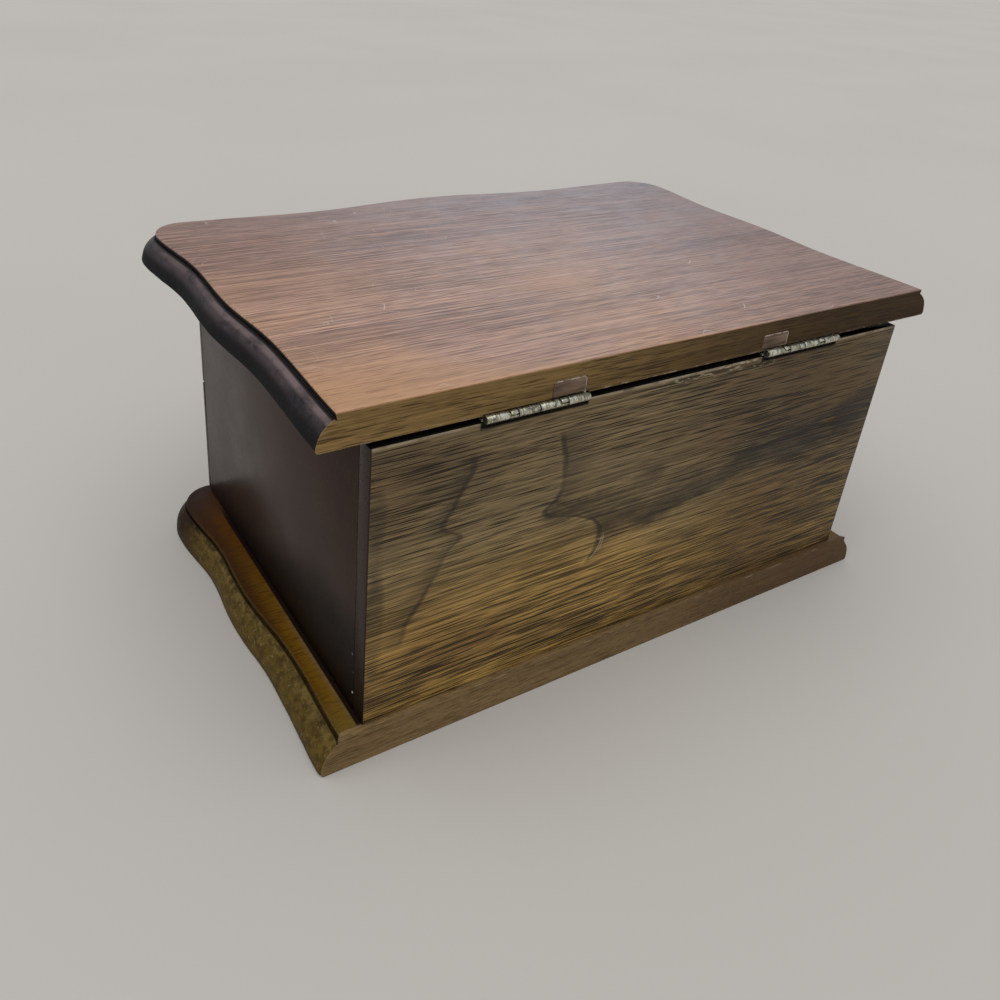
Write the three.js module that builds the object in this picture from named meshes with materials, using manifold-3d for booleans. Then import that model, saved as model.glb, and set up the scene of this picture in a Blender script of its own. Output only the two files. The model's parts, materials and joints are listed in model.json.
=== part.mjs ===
// Jewelry chest: a lidded compartment with a mirror over one drawer, on a moulded serpentine base.
// Millimetres. X runs to the right seen from the front, the front faces -Y, Z is up.
// The origin lies under the middle of the chest, on the surface that it stands on.
import * as THREE from 'three';
import { mergeVertices } from 'three/addons/utils/BufferGeometryUtils.js';
import Module from 'manifold-3d';

const wasm = await Module();
wasm.setup();

// Carcase
const carcaseWidth = 242;
const carcaseDepth = 160;
const carcaseHeight = 109.3;
const sideThickness = 8;
const backThickness = 7;
const frontThickness = 7;
const arris = 0.6;

// Lid board, and how far its flat field stands out past the carcase
const lidThickness = 12;
const lidGap = 2.3;
const lidRearOverhang = 10.8;
const lidWaistOverhang = 9.4;
const lidHipOverhang = 12.1;
const lidNeckOverhang = 11.1;
const lidEarOverhang = 14.5;
const lidHornOverhang = 18.7;
const lidHollowOverhang = 16.5;
const lidBowOverhang = 22.3;
const lidReach = 6.2;

// Base board, which stands out less at the front
const baseThickness = 15;
const baseLedge = 2;
const baseRearOverhang = 11.3;
const baseWaistOverhang = 10;
const baseHipOverhang = 12;
const baseNeckOverhang = 10.6;
const baseEarOverhang = 14.1;
const baseHornOverhang = 5.3;
const baseHollowOverhang = 5.7;
const baseBowOverhang = 12;
const baseReach = 5.2;

// Waved edge of both boards: its rounded corners
const cornerAcross = 13.5;
const cornerAlong = 15.4;

// Where the waves of the edge turn, as shares of the straight run that they lie on
const waistShare = 0.3;
const hipShare = 0.55;
const neckShare = 0.745;
const hollowShare = 0.54;

// Moulding round both boards: a quirk, then a flat thumb that rolls under at the foot
const quirkDepth = 2.8;
const quirkUndercut = 0.5;
const thumbStart = 0.5;
const thumbDrop = 2.2;
const thumbSwell = 1.3;
const footRoll = 1.2;
const footSetback = 0.8;

// Fronts: boards with rounded lips laid over the front edges of the sides
const lipRadius = 4.5;
const frontSetback = 0.3;
const frontGap = 1.2;
const drawerFrontLift = 0.8;
const drawerFrontHeight = 54.1;

// Compartment floor, housed in grooves in the sides
const floorThickness = 5;
const floorRaise = 1.9;
const grooveDepth = 3;

// Linings and dividers of the compartment
const liningThickness = 1.5;
const dividerThickness = 3;
const dividerHeight = 30;
const longDividerSetback = 82;
const ringBayWidth = 90;

// Ring cushion
const cushionHeight = 24;
const cushionSeamDepth = 9;
const cushionPull = 2.5;
const cushionSkirt = 7;
const rollCount = 5;
const rollFullness = 0.7;
const endSquareness = 6;
const edgeSquareness = 10;

// Mirror under the lid, with its beads: margins run from the inside of the walls to the glass
const mirrorSideMargin = 18;
const mirrorFrontMargin = 20;
const mirrorRearMargin = 17;
const mirrorThickness = 3;
const beadWidth = 9;
const beadHeight = 5.5;
const beadLap = 2.5;
const beadLip = 1.6;
const beadCrown = 2.4;
const beadArris = 1;

// Drawer
const drawerClearance = 0.5;
const drawerLift = 0.4;
const drawerHeadroom = 1.2;
const drawerRearRoom = 7;
const drawerSideThickness = 6;
const drawerBottomThickness = 3;
const drawerBottomRaise = 3;
const drawerGroove = 2.5;
const knobInset = 61;
const knobProjection = 14;
const knobRadius = 6.5;
const knobShankRadius = 1.9;

// The knob's outline, as shares of its widest radius and of how far it stands out
const knobNeckShares = [[0.43, 0.22], [0.43, 0.38]];
const knobHeadShares = [[0.86, 0.52], [1, 0.66], [0.93, 0.8], [0.66, 0.93], [0.3, 0.99]];
const knobFlangeShares = [[0.7, 0], [0.7, 0.09]];

// Hinges: leaves with two knuckles each, and tongues that stop the lid
const hingeEndInset = 38.4;
const hingeLength = 40.6;
const barrelRadius = 1.4;
const barrelProud = 0.6;
const pinRadius = 0.7;
const leafThickness = 0.8;
const leafWidth = 5.2;
const knuckleShares = [0.295, 0.205, 0.275, 0.225];
const knuckleGap = 0.25;
const tongueLength = 2.9;
const notchLength = 3.3;
const tongueFrom = 27;
const tongueTo = 112;
const notchFrom = 2;
const stopMargin = 3;
const lidTravel = 100;
const reliefDepth = 2.2;
const screwHoleRadius = 0.9;
const screwSpacing = 24;

// Patches let into the rear edge of the lid above the hinges
const patchWidth = 13.6;
const patchHeight = 5.7;
const patchDepth = 1.2;
const patchRaise = 0.7;
const patchInsetRight = 12.4;
const patchInsetLeft = 16.1;
const patchCorner = 1.2;

// Clearances
const seatGap = 0.3;
const runningGap = 0.05;
const overrun = 5;
const weldTolerance = 1e-4;

// Facets
const waveSteps = 7;
const frontSteps = 9;
const cornerSteps = 6;
const thumbSteps = 5;
const roundSteps = 5;
const barrelSides = 20;
const screwHoleSides = 10;
const knobSides = 24;
const cushionEndSteps = 12;
const cushionRollSteps = 8;

// Levels and lines that the pieces share
const halfWidth = carcaseWidth / 2;
const innerHalf = halfWidth - sideThickness;
const caseBottom = baseThickness;
const caseTop = caseBottom + carcaseHeight;
const lidBottom = caseTop + lidGap;
const rearY = (carcaseDepth + lidBowOverhang + lidReach - baseLedge) / 2;
const innerRearY = rearY - backThickness;
const openY = rearY - carcaseDepth;
const drawerFrontTop = caseBottom + drawerFrontLift + drawerFrontHeight;
const upperFrontBottom = drawerFrontTop + frontGap;
const floorTop = upperFrontBottom + floorRaise;
const floorBottom = floorTop - floorThickness;

// How far the field of each board stands out at every turn of its edge, and its moulding past that
const lidEdge = {
  rear: lidRearOverhang,
  waist: lidWaistOverhang,
  hip: lidHipOverhang,
  neck: lidNeckOverhang,
  ear: lidEarOverhang,
  horn: lidHornOverhang,
  hollow: lidHollowOverhang,
  bow: lidBowOverhang,
  reach: lidReach,
};
const baseEdge = {
  rear: baseRearOverhang,
  waist: baseWaistOverhang,
  hip: baseHipOverhang,
  neck: baseNeckOverhang,
  ear: baseEarOverhang,
  horn: baseHornOverhang,
  hollow: baseHollowOverhang,
  bow: baseBowOverhang,
  reach: baseReach,
};

function finish(color, roughness, metalness = 0) {
  return new THREE.MeshStandardMaterial({ color, roughness, metalness });
}

const lidWood = finish(0x7d4a32, 0.42);
const baseWood = finish(0x7a5426, 0.5);
const backWood = finish(0x5f4a2e, 0.62);
const sideWood = finish(0x43302b, 0.45);
const innerWood = finish(0x8d6a45, 0.6);
const felt = finish(0x5c1420, 0.95);
const brass = finish(0xb79a55, 0.35, 1);
const wornBrass = finish(0xa8a084, 0.4, 1);
const patchWood = finish(0x5a4038, 0.5);
const silvering = finish(0xd9dde0, 0.05, 1);

// A closed geometry as a solid that can be joined and cut
function toSolid(geometry) {
  const bare = geometry.clone();
  bare.deleteAttribute('normal');
  bare.deleteAttribute('uv');
  const merged = mergeVertices(bare, weldTolerance);
  const vertProperties = new Float32Array(merged.attributes.position.array);
  const triVerts = new Uint32Array(merged.index.array);
  return new wasm.Manifold(new wasm.Mesh({ numProp: 3, vertProperties, triVerts }));
}

function toGeometry(solid) {
  const mesh = solid.getMesh();
  const geometry = new THREE.BufferGeometry();
  geometry.setAttribute('position', new THREE.BufferAttribute(new Float32Array(mesh.vertProperties), 3));
  geometry.setIndex(new THREE.BufferAttribute(new Uint32Array(mesh.triVerts), 1));
  geometry.computeVertexNormals();
  return geometry;
}

const cut = (solid, ...tools) => tools.reduce((left, tool) => left.subtract(tool), solid);
const join = (...solids) => solids.reduce((left, right) => left.add(right));

const chest = new THREE.Group();

function addPiece(name, solid, material) {
  const mesh = new THREE.Mesh(toGeometry(solid), material);
  mesh.name = name;
  chest.add(mesh);
}

// A square block between two corners
function block([x0, y0, z0], [x1, y1, z1]) {
  const geometry = new THREE.BoxGeometry(x1 - x0, y1 - y0, z1 - z0);
  geometry.translate((x0 + x1) / 2, (y0 + y1) / 2, (z0 + z1) / 2);
  return toSolid(geometry);
}

// An outline pushed along Z from one level to another
function prismUp(shape, low, high) {
  const settings = { depth: high - low, bevelEnabled: false, curveSegments: roundSteps };
  const geometry = new THREE.ExtrudeGeometry(shape, settings);
  geometry.translate(0, 0, low);
  return toSolid(geometry);
}

// An outline drawn in Y and Z, pushed along X
function prismAcross(shape, left, right, curveSegments = roundSteps) {
  const settings = { depth: right - left, bevelEnabled: false, curveSegments };
  const geometry = new THREE.ExtrudeGeometry(shape, settings);
  const alongX = new THREE.Vector3(1, 0, 0);
  const alongY = new THREE.Vector3(0, 1, 0);
  const alongZ = new THREE.Vector3(0, 0, 1);
  geometry.applyMatrix4(new THREE.Matrix4().makeBasis(alongY, alongZ, alongX));
  geometry.translate(left, 0, 0);
  return toSolid(geometry);
}

// Points that ease from each station to the next, as the waved edge does
function easedRun(stations, steps) {
  const points = [];
  for (let leg = 0; leg < stations.length - 1; leg += 1) {
    const [alongA, outA] = stations[leg];
    const [alongB, outB] = stations[leg + 1];
    for (let step = 0; step < steps; step += 1) {
      const share = step / steps;
      const ease = (1 - Math.cos(Math.PI * share)) / 2;
      points.push([alongA + (alongB - alongA) * share, outA + (outB - outA) * ease]);
    }
  }
  points.push(stations[stations.length - 1]);
  return points;
}

// Half of the flat field's outline, from behind the rear edge round to the middle of the front
function halfField(edge) {
  const earX = halfWidth + edge.ear;
  const hornDepth = carcaseDepth + edge.horn;
  const earDepth = hornDepth - cornerAlong;
  const cornerX = earX - cornerAcross;
  const side = easedRun([
    [0, halfWidth + edge.rear],
    [earDepth * waistShare, halfWidth + edge.waist],
    [earDepth * hipShare, halfWidth + edge.hip],
    [earDepth * neckShare, halfWidth + edge.neck],
    [earDepth, earX],
  ], waveSteps).map(([depth, x]) => new THREE.Vector2(x, rearY - depth));
  const corner = [];
  for (let step = 1; step < cornerSteps; step += 1) {
    const angle = (Math.PI / 2) * (step / cornerSteps);
    const x = cornerX + cornerAcross * Math.cos(angle);
    const depth = earDepth + cornerAlong * Math.sin(angle);
    corner.push(new THREE.Vector2(x, rearY - depth));
  }
  const front = easedRun([
    [cornerX, hornDepth],
    [cornerX * hollowShare, carcaseDepth + edge.hollow],
    [0, carcaseDepth + edge.bow],
  ], frontSteps).map(([x, depth]) => new THREE.Vector2(x, rearY - depth));
  const tail = new THREE.Vector2(halfWidth + edge.rear, rearY + baseLedge + overrun);
  return [tail, ...side, ...corner, ...front];
}

// The whole outline, counter-clockwise seen from above
function fieldOutline(edge) {
  const right = halfField(edge);
  const left = right.slice(0, -1).map((point) => new THREE.Vector2(-point.x, point.y));
  return [...left, ...right.reverse()];
}

// The same outline moved outwards
function offsetOutline(outline, distance) {
  return outline.map((point, index) => {
    const before = outline[(index + outline.length - 1) % outline.length];
    const after = outline[(index + 1) % outline.length];
    const along = after.clone().sub(before).normalize();
    return new THREE.Vector2(point.x + along.y * distance, point.y - along.x * distance);
  });
}

// Section of the moulding as [outwards from the field's edge, down from the top] pairs
function mouldingSection(thickness, reach) {
  const start = new THREE.Vector2(thumbStart, thumbDrop);
  const end = new THREE.Vector2(reach, thickness - footRoll);
  const chord = end.clone().sub(start);
  const outwards = new THREE.Vector2(chord.y, -chord.x).normalize();
  const thumb = [];
  for (let step = 0; step <= thumbSteps; step += 1) {
    const share = step / thumbSteps;
    const swell = thumbSwell * Math.sin(Math.PI * share);
    const point = start.clone().addScaledVector(chord, share).addScaledVector(outwards, swell);
    thumb.push([point.x, point.y]);
  }
  return [
    [-arris, 0],
    [0, arris],
    [-quirkUndercut, quirkDepth],
    ...thumb,
    [reach - footSetback, thickness],
  ];
}

// A serpentine board: its section follows the outline, and the rear is cut square
function mouldedBoard(bottom, thickness, rearCut, edge) {
  const outline = fieldOutline(edge);
  const section = mouldingSection(thickness, edge.reach);
  const rings = section.map(([outwards]) => offsetOutline(outline, outwards));
  const count = outline.length;
  const positions = [];
  rings.forEach((ring, level) => {
    ring.forEach((point) => positions.push(point.x, point.y, bottom + thickness - section[level][1]));
  });
  const faces = [];
  for (let level = 0; level < rings.length - 1; level += 1) {
    for (let index = 0; index < count; index += 1) {
      const next = (index + 1) % count;
      const upper = level * count;
      const lower = upper + count;
      faces.push(upper + index, lower + index, upper + next);
      faces.push(upper + next, lower + index, lower + next);
    }
  }
  const lowest = (rings.length - 1) * count;
  for (const [a, b, c] of THREE.ShapeUtils.triangulateShape(rings[0], [])) {
    faces.push(a, b, c);
  }
  for (const [a, b, c] of THREE.ShapeUtils.triangulateShape(rings[rings.length - 1], [])) {
    faces.push(lowest + a, lowest + c, lowest + b);
  }
  const geometry = new THREE.BufferGeometry();
  geometry.setAttribute('position', new THREE.Float32BufferAttribute(positions, 3));
  geometry.setIndex(faces);
  const wide = halfWidth + edge.ear + edge.reach + overrun;
  const rearWaste = block(
    [-wide, rearCut, bottom - overrun],
    [wide, rearY + baseLedge + edge.reach + overrun * 2, bottom + thickness + overrun],
  );
  return cut(toSolid(geometry), rearWaste);
}

// A board with its front edges rounded over, seen both from the side and from above
function lippedFront(backY, bottom, top) {
  const faceY = backY - frontThickness;
  const half = halfWidth - frontSetback;
  const side = new THREE.Shape();
  side.moveTo(backY, bottom + arris);
  side.lineTo(backY, top - arris);
  side.lineTo(backY - arris, top);
  side.lineTo(faceY + lipRadius, top);
  side.absarc(faceY + lipRadius, top - lipRadius, lipRadius, Math.PI / 2, Math.PI, false);
  side.lineTo(faceY, bottom + lipRadius);
  side.absarc(faceY + lipRadius, bottom + lipRadius, lipRadius, Math.PI, Math.PI * 1.5, false);
  side.lineTo(backY - arris, bottom);
  const plan = new THREE.Shape();
  plan.moveTo(-half, backY - arris);
  plan.lineTo(-half, faceY + lipRadius);
  plan.absarc(-half + lipRadius, faceY + lipRadius, lipRadius, Math.PI, Math.PI * 1.5, false);
  plan.lineTo(half - lipRadius, faceY);
  plan.absarc(half - lipRadius, faceY + lipRadius, lipRadius, -Math.PI / 2, 0, false);
  plan.lineTo(half, backY - arris);
  plan.lineTo(half - arris, backY);
  plan.lineTo(-half + arris, backY);
  const across = prismAcross(side, -half - overrun, half + overrun);
  return across.intersect(prismUp(plan, bottom - overrun, top + overrun));
}

// A sector of a ring round the hinge pin, in degrees from the rear, turning upwards
function ringSector(left, right, inner, outer, from, to) {
  const shape = new THREE.Shape();
  const start = THREE.MathUtils.degToRad(from);
  const end = THREE.MathUtils.degToRad(to);
  shape.moveTo(inner * Math.cos(start), inner * Math.sin(start));
  shape.absarc(0, 0, outer, start, end, false);
  shape.absarc(0, 0, inner, end, start, true);
  return prismAcross(shape, left, right, barrelSides / 2);
}

function barrel(left, right, radius) {
  const geometry = new THREE.CylinderGeometry(radius, radius, right - left, barrelSides);
  geometry.rotateZ(Math.PI / 2);
  geometry.translate((left + right) / 2, 0, 0);
  return toSolid(geometry);
}

// Ends of each knuckle along the hinge, counted from its +X end
function knuckleSpans() {
  const spans = [];
  let edge = hingeLength / 2;
  for (const share of knuckleShares) {
    const next = edge - share * hingeLength;
    spans.push([next + knuckleGap / 2, edge - knuckleGap / 2]);
    edge = next;
  }
  return spans;
}

// One leaf with its two knuckles, round an axis at the origin. The case leaf lies below the pin and
// carries the tongues; the lid leaf lies above it and has the notches that the tongues stand in.
function hingeLeaf(isLidLeaf) {
  const spans = knuckleSpans();
  const own = isLidLeaf ? [spans[0], spans[2]] : [spans[1], spans[3]];
  const outerFace = isLidLeaf ? barrelRadius : -barrelRadius;
  const innerFace = isLidLeaf ? barrelRadius - leafThickness : leafThickness - barrelRadius;
  const [low, high] = [Math.min(outerFace, innerFace), Math.max(outerFace, innerFace)];
  const plateEdge = -(barrelRadius + seatGap);
  const farEdge = -(barrelRadius + seatGap + leafWidth);
  let leaf = block([-hingeLength / 2, farEdge, low], [hingeLength / 2, plateEdge, high]);
  for (const [left, right] of own) {
    const strap = block([left, plateEdge - seatGap, low], [right, 0, high]);
    leaf = join(leaf, strap, barrel(left, right, barrelRadius));
  }
  for (const [left, right] of own) {
    const bore = barrel(left - overrun, right + overrun, pinRadius + runningGap);
    if (isLidLeaf) {
      const notch = ringSector(
        left - knuckleGap,
        left + notchLength,
        0,
        barrelRadius + overrun,
        notchFrom,
        tongueTo + lidTravel + stopMargin,
      );
      const keepPlate = block(
        [left - knuckleGap, farEdge, -overrun],
        [left + notchLength, plateEdge, overrun],
      );
      leaf = cut(leaf, bore, cut(notch, keepPlate));
    } else {
      const root = pinRadius + runningGap;
      const tip = right + tongueLength;
      const tongue = ringSector(right - seatGap, tip, root, barrelRadius, tongueFrom, tongueTo);
      leaf = join(cut(leaf, bore), tongue);
    }
  }
  for (const side of [-1, 1]) {
    const length = barrelRadius * 2 + overrun;
    const hole = new THREE.CylinderGeometry(screwHoleRadius, screwHoleRadius, length, screwHoleSides);
    hole.rotateX(Math.PI / 2);
    hole.translate((side * screwSpacing) / 2, (farEdge + plateEdge) / 2, 0);
    leaf = cut(leaf, toSolid(hole));
  }
  return leaf;
}

const hingeY = rearY + barrelProud;
const hingeZ = caseTop + lidGap / 2;
const mortiseHalf = hingeLength / 2 + seatGap;
const mortiseFront = hingeY - (barrelRadius + seatGap + leafWidth + seatGap);

const hingeX = halfWidth - hingeEndInset - hingeLength / 2;

function hingeCentres() {
  return [['left', -hingeX], ['right', hingeX]];
}

// Room for a leaf and its knuckles in the top edge of the back panel
function caseMortise(x) {
  const seat = block(
    [x - mortiseHalf, mortiseFront, hingeZ - barrelRadius - seatGap],
    [x + mortiseHalf, rearY + overrun, caseTop + overrun],
  );
  const relief = block(
    [x - mortiseHalf, hingeY - barrelRadius - seatGap, caseTop - reliefDepth],
    [x + mortiseHalf, rearY + overrun, caseTop + overrun],
  );
  return join(seat, relief);
}

// Room for the other leaf in the underside of the lid
function lidMortise(x) {
  return block(
    [x - mortiseHalf, mortiseFront, lidBottom - overrun],
    [x + mortiseHalf, rearY + overrun, hingeZ + barrelRadius + seatGap],
  );
}

// A patch with two rounded upper corners, or the pocket that it lies in
function patchSolid(x, spare, frontY, backY) {
  const half = patchWidth / 2 + spare;
  const bottom = lidBottom + patchRaise - spare;
  const top = lidBottom + patchRaise + patchHeight + spare;
  const shape = new THREE.Shape();
  shape.moveTo(-half, bottom);
  shape.lineTo(half, bottom);
  shape.lineTo(half, top - patchCorner);
  shape.absarc(half - patchCorner, top - patchCorner, patchCorner, 0, Math.PI / 2, false);
  shape.lineTo(-half + patchCorner, top);
  shape.absarc(-half + patchCorner, top - patchCorner, patchCorner, Math.PI / 2, Math.PI, false);
  const settings = { depth: backY - frontY, bevelEnabled: false, curveSegments: roundSteps };
  const geometry = new THREE.ExtrudeGeometry(shape, settings);
  geometry.rotateX(Math.PI / 2);
  geometry.translate(x, backY, 0);
  return toSolid(geometry);
}

function addBase() {
  addPiece('base_board', mouldedBoard(0, baseThickness, rearY + baseLedge, baseEdge), baseWood);
}

function addCarcase() {
  const groove = (side) => {
    const inner = side * innerHalf;
    const deep = side * (innerHalf + grooveDepth + seatGap);
    return block(
      [Math.min(inner, deep), openY - overrun, floorBottom - seatGap / 2],
      [Math.max(inner, deep), innerRearY + overrun, floorTop + seatGap / 2],
    );
  };
  for (const [name, side] of [['left', -1], ['right', 1]]) {
    const inner = side * innerHalf;
    const outer = side * halfWidth;
    const panel = block(
      [Math.min(inner, outer), openY, caseBottom],
      [Math.max(inner, outer), innerRearY, caseTop],
    );
    addPiece(`side_panel_${name}`, cut(panel, groove(side)), sideWood);
  }
  const back = block([-halfWidth, innerRearY, caseBottom], [halfWidth, rearY, caseTop]);
  addPiece('back_panel', cut(back, ...hingeCentres().map(([, x]) => caseMortise(x))), backWood);
  const floorHalf = innerHalf + grooveDepth;
  const floorBoard = block([-floorHalf, openY, floorBottom], [floorHalf, innerRearY, floorTop]);
  addPiece('compartment_floor', floorBoard, innerWood);
  addPiece('upper_front', lippedFront(openY, upperFrontBottom, caseTop), sideWood);
}

// Felt covered cards line the walls and stand above them, so that the lid rests on felt
function addLinings() {
  const low = floorTop + liningThickness;
  const high = lidBottom - seatGap;
  const half = innerHalf;
  const front = openY;
  const rear = innerRearY;
  const thick = liningThickness;
  addPiece('compartment_lining', block([-half, front, floorTop], [half, rear, low]), felt);
  addPiece('lining_front', block([-half, front, low], [half, front + thick, high]), felt);
  addPiece('lining_rear', block([-half, rear - thick, low], [half, rear, high]), felt);
  addPiece('lining_left', block([-half, front + thick, low], [-half + thick, rear - thick, high]), felt);
  addPiece('lining_right', block([half - thick, front + thick, low], [half, rear - thick, high]), felt);
}

function addDividers() {
  const low = floorTop + liningThickness;
  const high = low + dividerHeight;
  const half = innerHalf - liningThickness;
  const front = openY + liningThickness;
  const rear = innerRearY - liningThickness;
  const longRear = innerRearY - longDividerSetback;
  const longFront = longRear - dividerThickness;
  const bay = ringBayWidth / 2;
  const bayOuter = bay + dividerThickness;
  const slat = dividerThickness / 2;
  addPiece('divider_long', block([-half, longFront, low], [half, longRear, high]), felt);
  addPiece('divider_rear', block([-slat, longRear, low], [slat, rear, high]), felt);
  addPiece('divider_front_left', block([-bayOuter, front, low], [-bay, longFront, high]), felt);
  addPiece('divider_front_right', block([bay, front, low], [bayOuter, longFront, high]), felt);
}

// Height of the ring cushion at a share of its width and depth: rolls side by side along X, with
// sewn seams between them, falling away at the ends
function cushionCrown(across, along) {
  const roll = Math.abs(Math.sin(Math.PI * rollCount * along)) ** rollFullness;
  const endFall = Math.sqrt(1 - (2 * across - 1) ** endSquareness);
  const edgeFall = Math.sqrt(1 - (2 * along - 1) ** edgeSquareness);
  const seam = (cushionHeight - cushionSeamDepth - cushionSkirt) * edgeFall;
  return cushionSkirt + endFall * (seam + cushionSeamDepth * roll);
}

// The cushion's crown is a grid; its sides draw in towards the foot
function addRingCushion() {
  const low = floorTop + liningThickness;
  const front = openY + liningThickness + seatGap;
  const rear = innerRearY - longDividerSetback - dividerThickness - seatGap;
  const halfX = ringBayWidth / 2 - seatGap;
  const halfY = (rear - front) / 2;
  const middleY = (front + rear) / 2;
  const columns = cushionEndSteps;
  const rows = rollCount * cushionRollSteps;
  const positions = [];
  const faces = [];
  const shareAcross = (i) => (1 - Math.cos((Math.PI * i) / columns)) / 2;
  const addPoint = (i, j, height, pull) => {
    const x = (2 * shareAcross(i) - 1) * (halfX - pull);
    const y = middleY + ((2 * j) / rows - 1) * (halfY - pull);
    positions.push(x, y, low + height);
    return positions.length / 3 - 1;
  };
  const grid = [];
  for (let i = 0; i <= columns; i += 1) {
    grid.push([]);
    for (let j = 0; j <= rows; j += 1) {
      const onRim = i === 0 || i === columns || j === 0 || j === rows;
      grid[i].push(addPoint(i, j, onRim ? cushionSkirt : cushionCrown(shareAcross(i), j / rows), 0));
    }
  }
  for (let i = 0; i < columns; i += 1) {
    for (let j = 0; j < rows; j += 1) {
      faces.push(grid[i][j], grid[i + 1][j], grid[i + 1][j + 1]);
      faces.push(grid[i][j], grid[i + 1][j + 1], grid[i][j + 1]);
    }
  }
  const rim = [];
  for (let i = 0; i < columns; i += 1) {
    rim.push([i, 0]);
  }
  for (let j = 0; j < rows; j += 1) {
    rim.push([columns, j]);
  }
  for (let i = columns; i > 0; i -= 1) {
    rim.push([i, rows]);
  }
  for (let j = rows; j > 0; j -= 1) {
    rim.push([0, j]);
  }
  let upper = rim.map(([i, j]) => grid[i][j]);
  for (const [height, pull] of [[cushionSkirt / 2, 0], [0, cushionPull]]) {
    const ring = rim.map(([i, j]) => addPoint(i, j, height, pull));
    ring.forEach((lower, index) => {
      const next = (index + 1) % ring.length;
      faces.push(upper[index], lower, upper[next]);
      faces.push(upper[next], lower, ring[next]);
    });
    upper = ring;
  }
  positions.push(0, middleY, low);
  const centre = positions.length / 3 - 1;
  upper.forEach((corner, index) => faces.push(corner, centre, upper[(index + 1) % upper.length]));
  const geometry = new THREE.BufferGeometry();
  geometry.setAttribute('position', new THREE.Float32BufferAttribute(positions, 3));
  geometry.setIndex(faces);
  addPiece('ring_cushion', toSolid(geometry), felt);
}

function addLid() {
  let board = mouldedBoard(lidBottom, lidThickness, rearY, lidEdge);
  for (const [, x] of hingeCentres()) {
    board = cut(board, lidMortise(x));
  }
  for (const [name, side, inset] of [['left', -1, patchInsetLeft], ['right', 1, patchInsetRight]]) {
    const x = side * (hingeX - inset);
    const pocketFloor = rearY - patchDepth - seatGap / 2;
    board = cut(board, patchSolid(x, seatGap / 2, pocketFloor, rearY + overrun));
    addPiece(`hinge_patch_${name}`, patchSolid(x, 0, rearY - patchDepth, rearY), patchWood);
  }
  addPiece('lid_board', board, lidWood);
}

function addHinges() {
  for (const [name, x] of hingeCentres()) {
    const move = [x, hingeY, hingeZ];
    addPiece(`hinge_case_leaf_${name}`, hingeLeaf(false).translate(move), wornBrass);
    addPiece(`hinge_lid_leaf_${name}`, hingeLeaf(true).translate(move), wornBrass);
    const pin = barrel(-hingeLength / 2, hingeLength / 2, pinRadius);
    addPiece(`hinge_pin_${name}`, pin.translate(move), wornBrass);
  }
}

// A bead's section: a hollow slope down to the glass, and a rebate that laps the edge of the glass
function beadSection() {
  const rebateTop = -(mirrorThickness + seatGap);
  const lipBottom = rebateTop - beadLip;
  const shape = new THREE.Shape();
  shape.moveTo(0, 0);
  shape.lineTo(beadWidth - beadLap, 0);
  shape.lineTo(beadWidth - beadLap, rebateTop);
  shape.lineTo(beadWidth, rebateTop);
  shape.lineTo(beadWidth, lipBottom);
  shape.quadraticCurveTo(beadCrown + beadArris, lipBottom, beadCrown, -beadHeight);
  shape.lineTo(beadArris, -beadHeight);
  shape.lineTo(0, beadArris - beadHeight);
  return shape;
}

// Mirror glued under the lid, and its four mitred beads
function addMirror() {
  const mirrorHalf = innerHalf - mirrorSideMargin;
  const mirrorRear = innerRearY - mirrorRearMargin;
  const mirrorFront = openY + mirrorFrontMargin;
  const middleY = (mirrorRear + mirrorFront) / 2;
  const glass = block(
    [-mirrorHalf, mirrorFront, lidBottom - mirrorThickness],
    [mirrorHalf, mirrorRear, lidBottom],
  );
  addPiece('mirror', glass, silvering);
  const outside = beadWidth - beadLap + seatGap;
  const frameHalfX = mirrorHalf + outside;
  const frameHalfY = (mirrorRear - mirrorFront) / 2 + outside;
  const sides = [
    ['front', 0, frameHalfX, frameHalfY],
    ['right', 90, frameHalfY, frameHalfX],
    ['rear', 180, frameHalfX, frameHalfY],
    ['left', 270, frameHalfY, frameHalfX],
  ];
  for (const [name, turn, halfLong, halfAcross] of sides) {
    const half = halfLong - seatGap / 2;
    const stick = prismAcross(beadSection(), -half, half).translate([0, -halfAcross, 0]);
    const mitre = new THREE.Shape();
    mitre.moveTo(-half, -halfAcross);
    mitre.lineTo(half, -halfAcross);
    mitre.lineTo(half - beadWidth, beadWidth - halfAcross);
    mitre.lineTo(beadWidth - half, beadWidth - halfAcross);
    const trimmed = stick.intersect(prismUp(mitre, -overrun - beadHeight, overrun));
    const turned = trimmed.rotate([0, 0, turn]).translate([0, middleY, lidBottom]);
    addPiece(`mirror_bead_${name}`, turned, innerWood);
  }
}

// Knob turned from rod: a flange against the board, a neck and a domed head, with its shank behind
function knobSolid() {
  const outlineShares = [...knobFlangeShares, ...knobNeckShares, ...knobHeadShares];
  const points = [
    new THREE.Vector2(0, -frontThickness),
    new THREE.Vector2(knobShankRadius, -frontThickness),
    new THREE.Vector2(knobShankRadius, 0),
    ...outlineShares.map(([out, along]) => new THREE.Vector2(out * knobRadius, along * knobProjection)),
    new THREE.Vector2(0, knobProjection),
  ];
  const geometry = new THREE.LatheGeometry(points, knobSides);
  geometry.rotateX(Math.PI);
  return toSolid(geometry);
}

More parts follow.
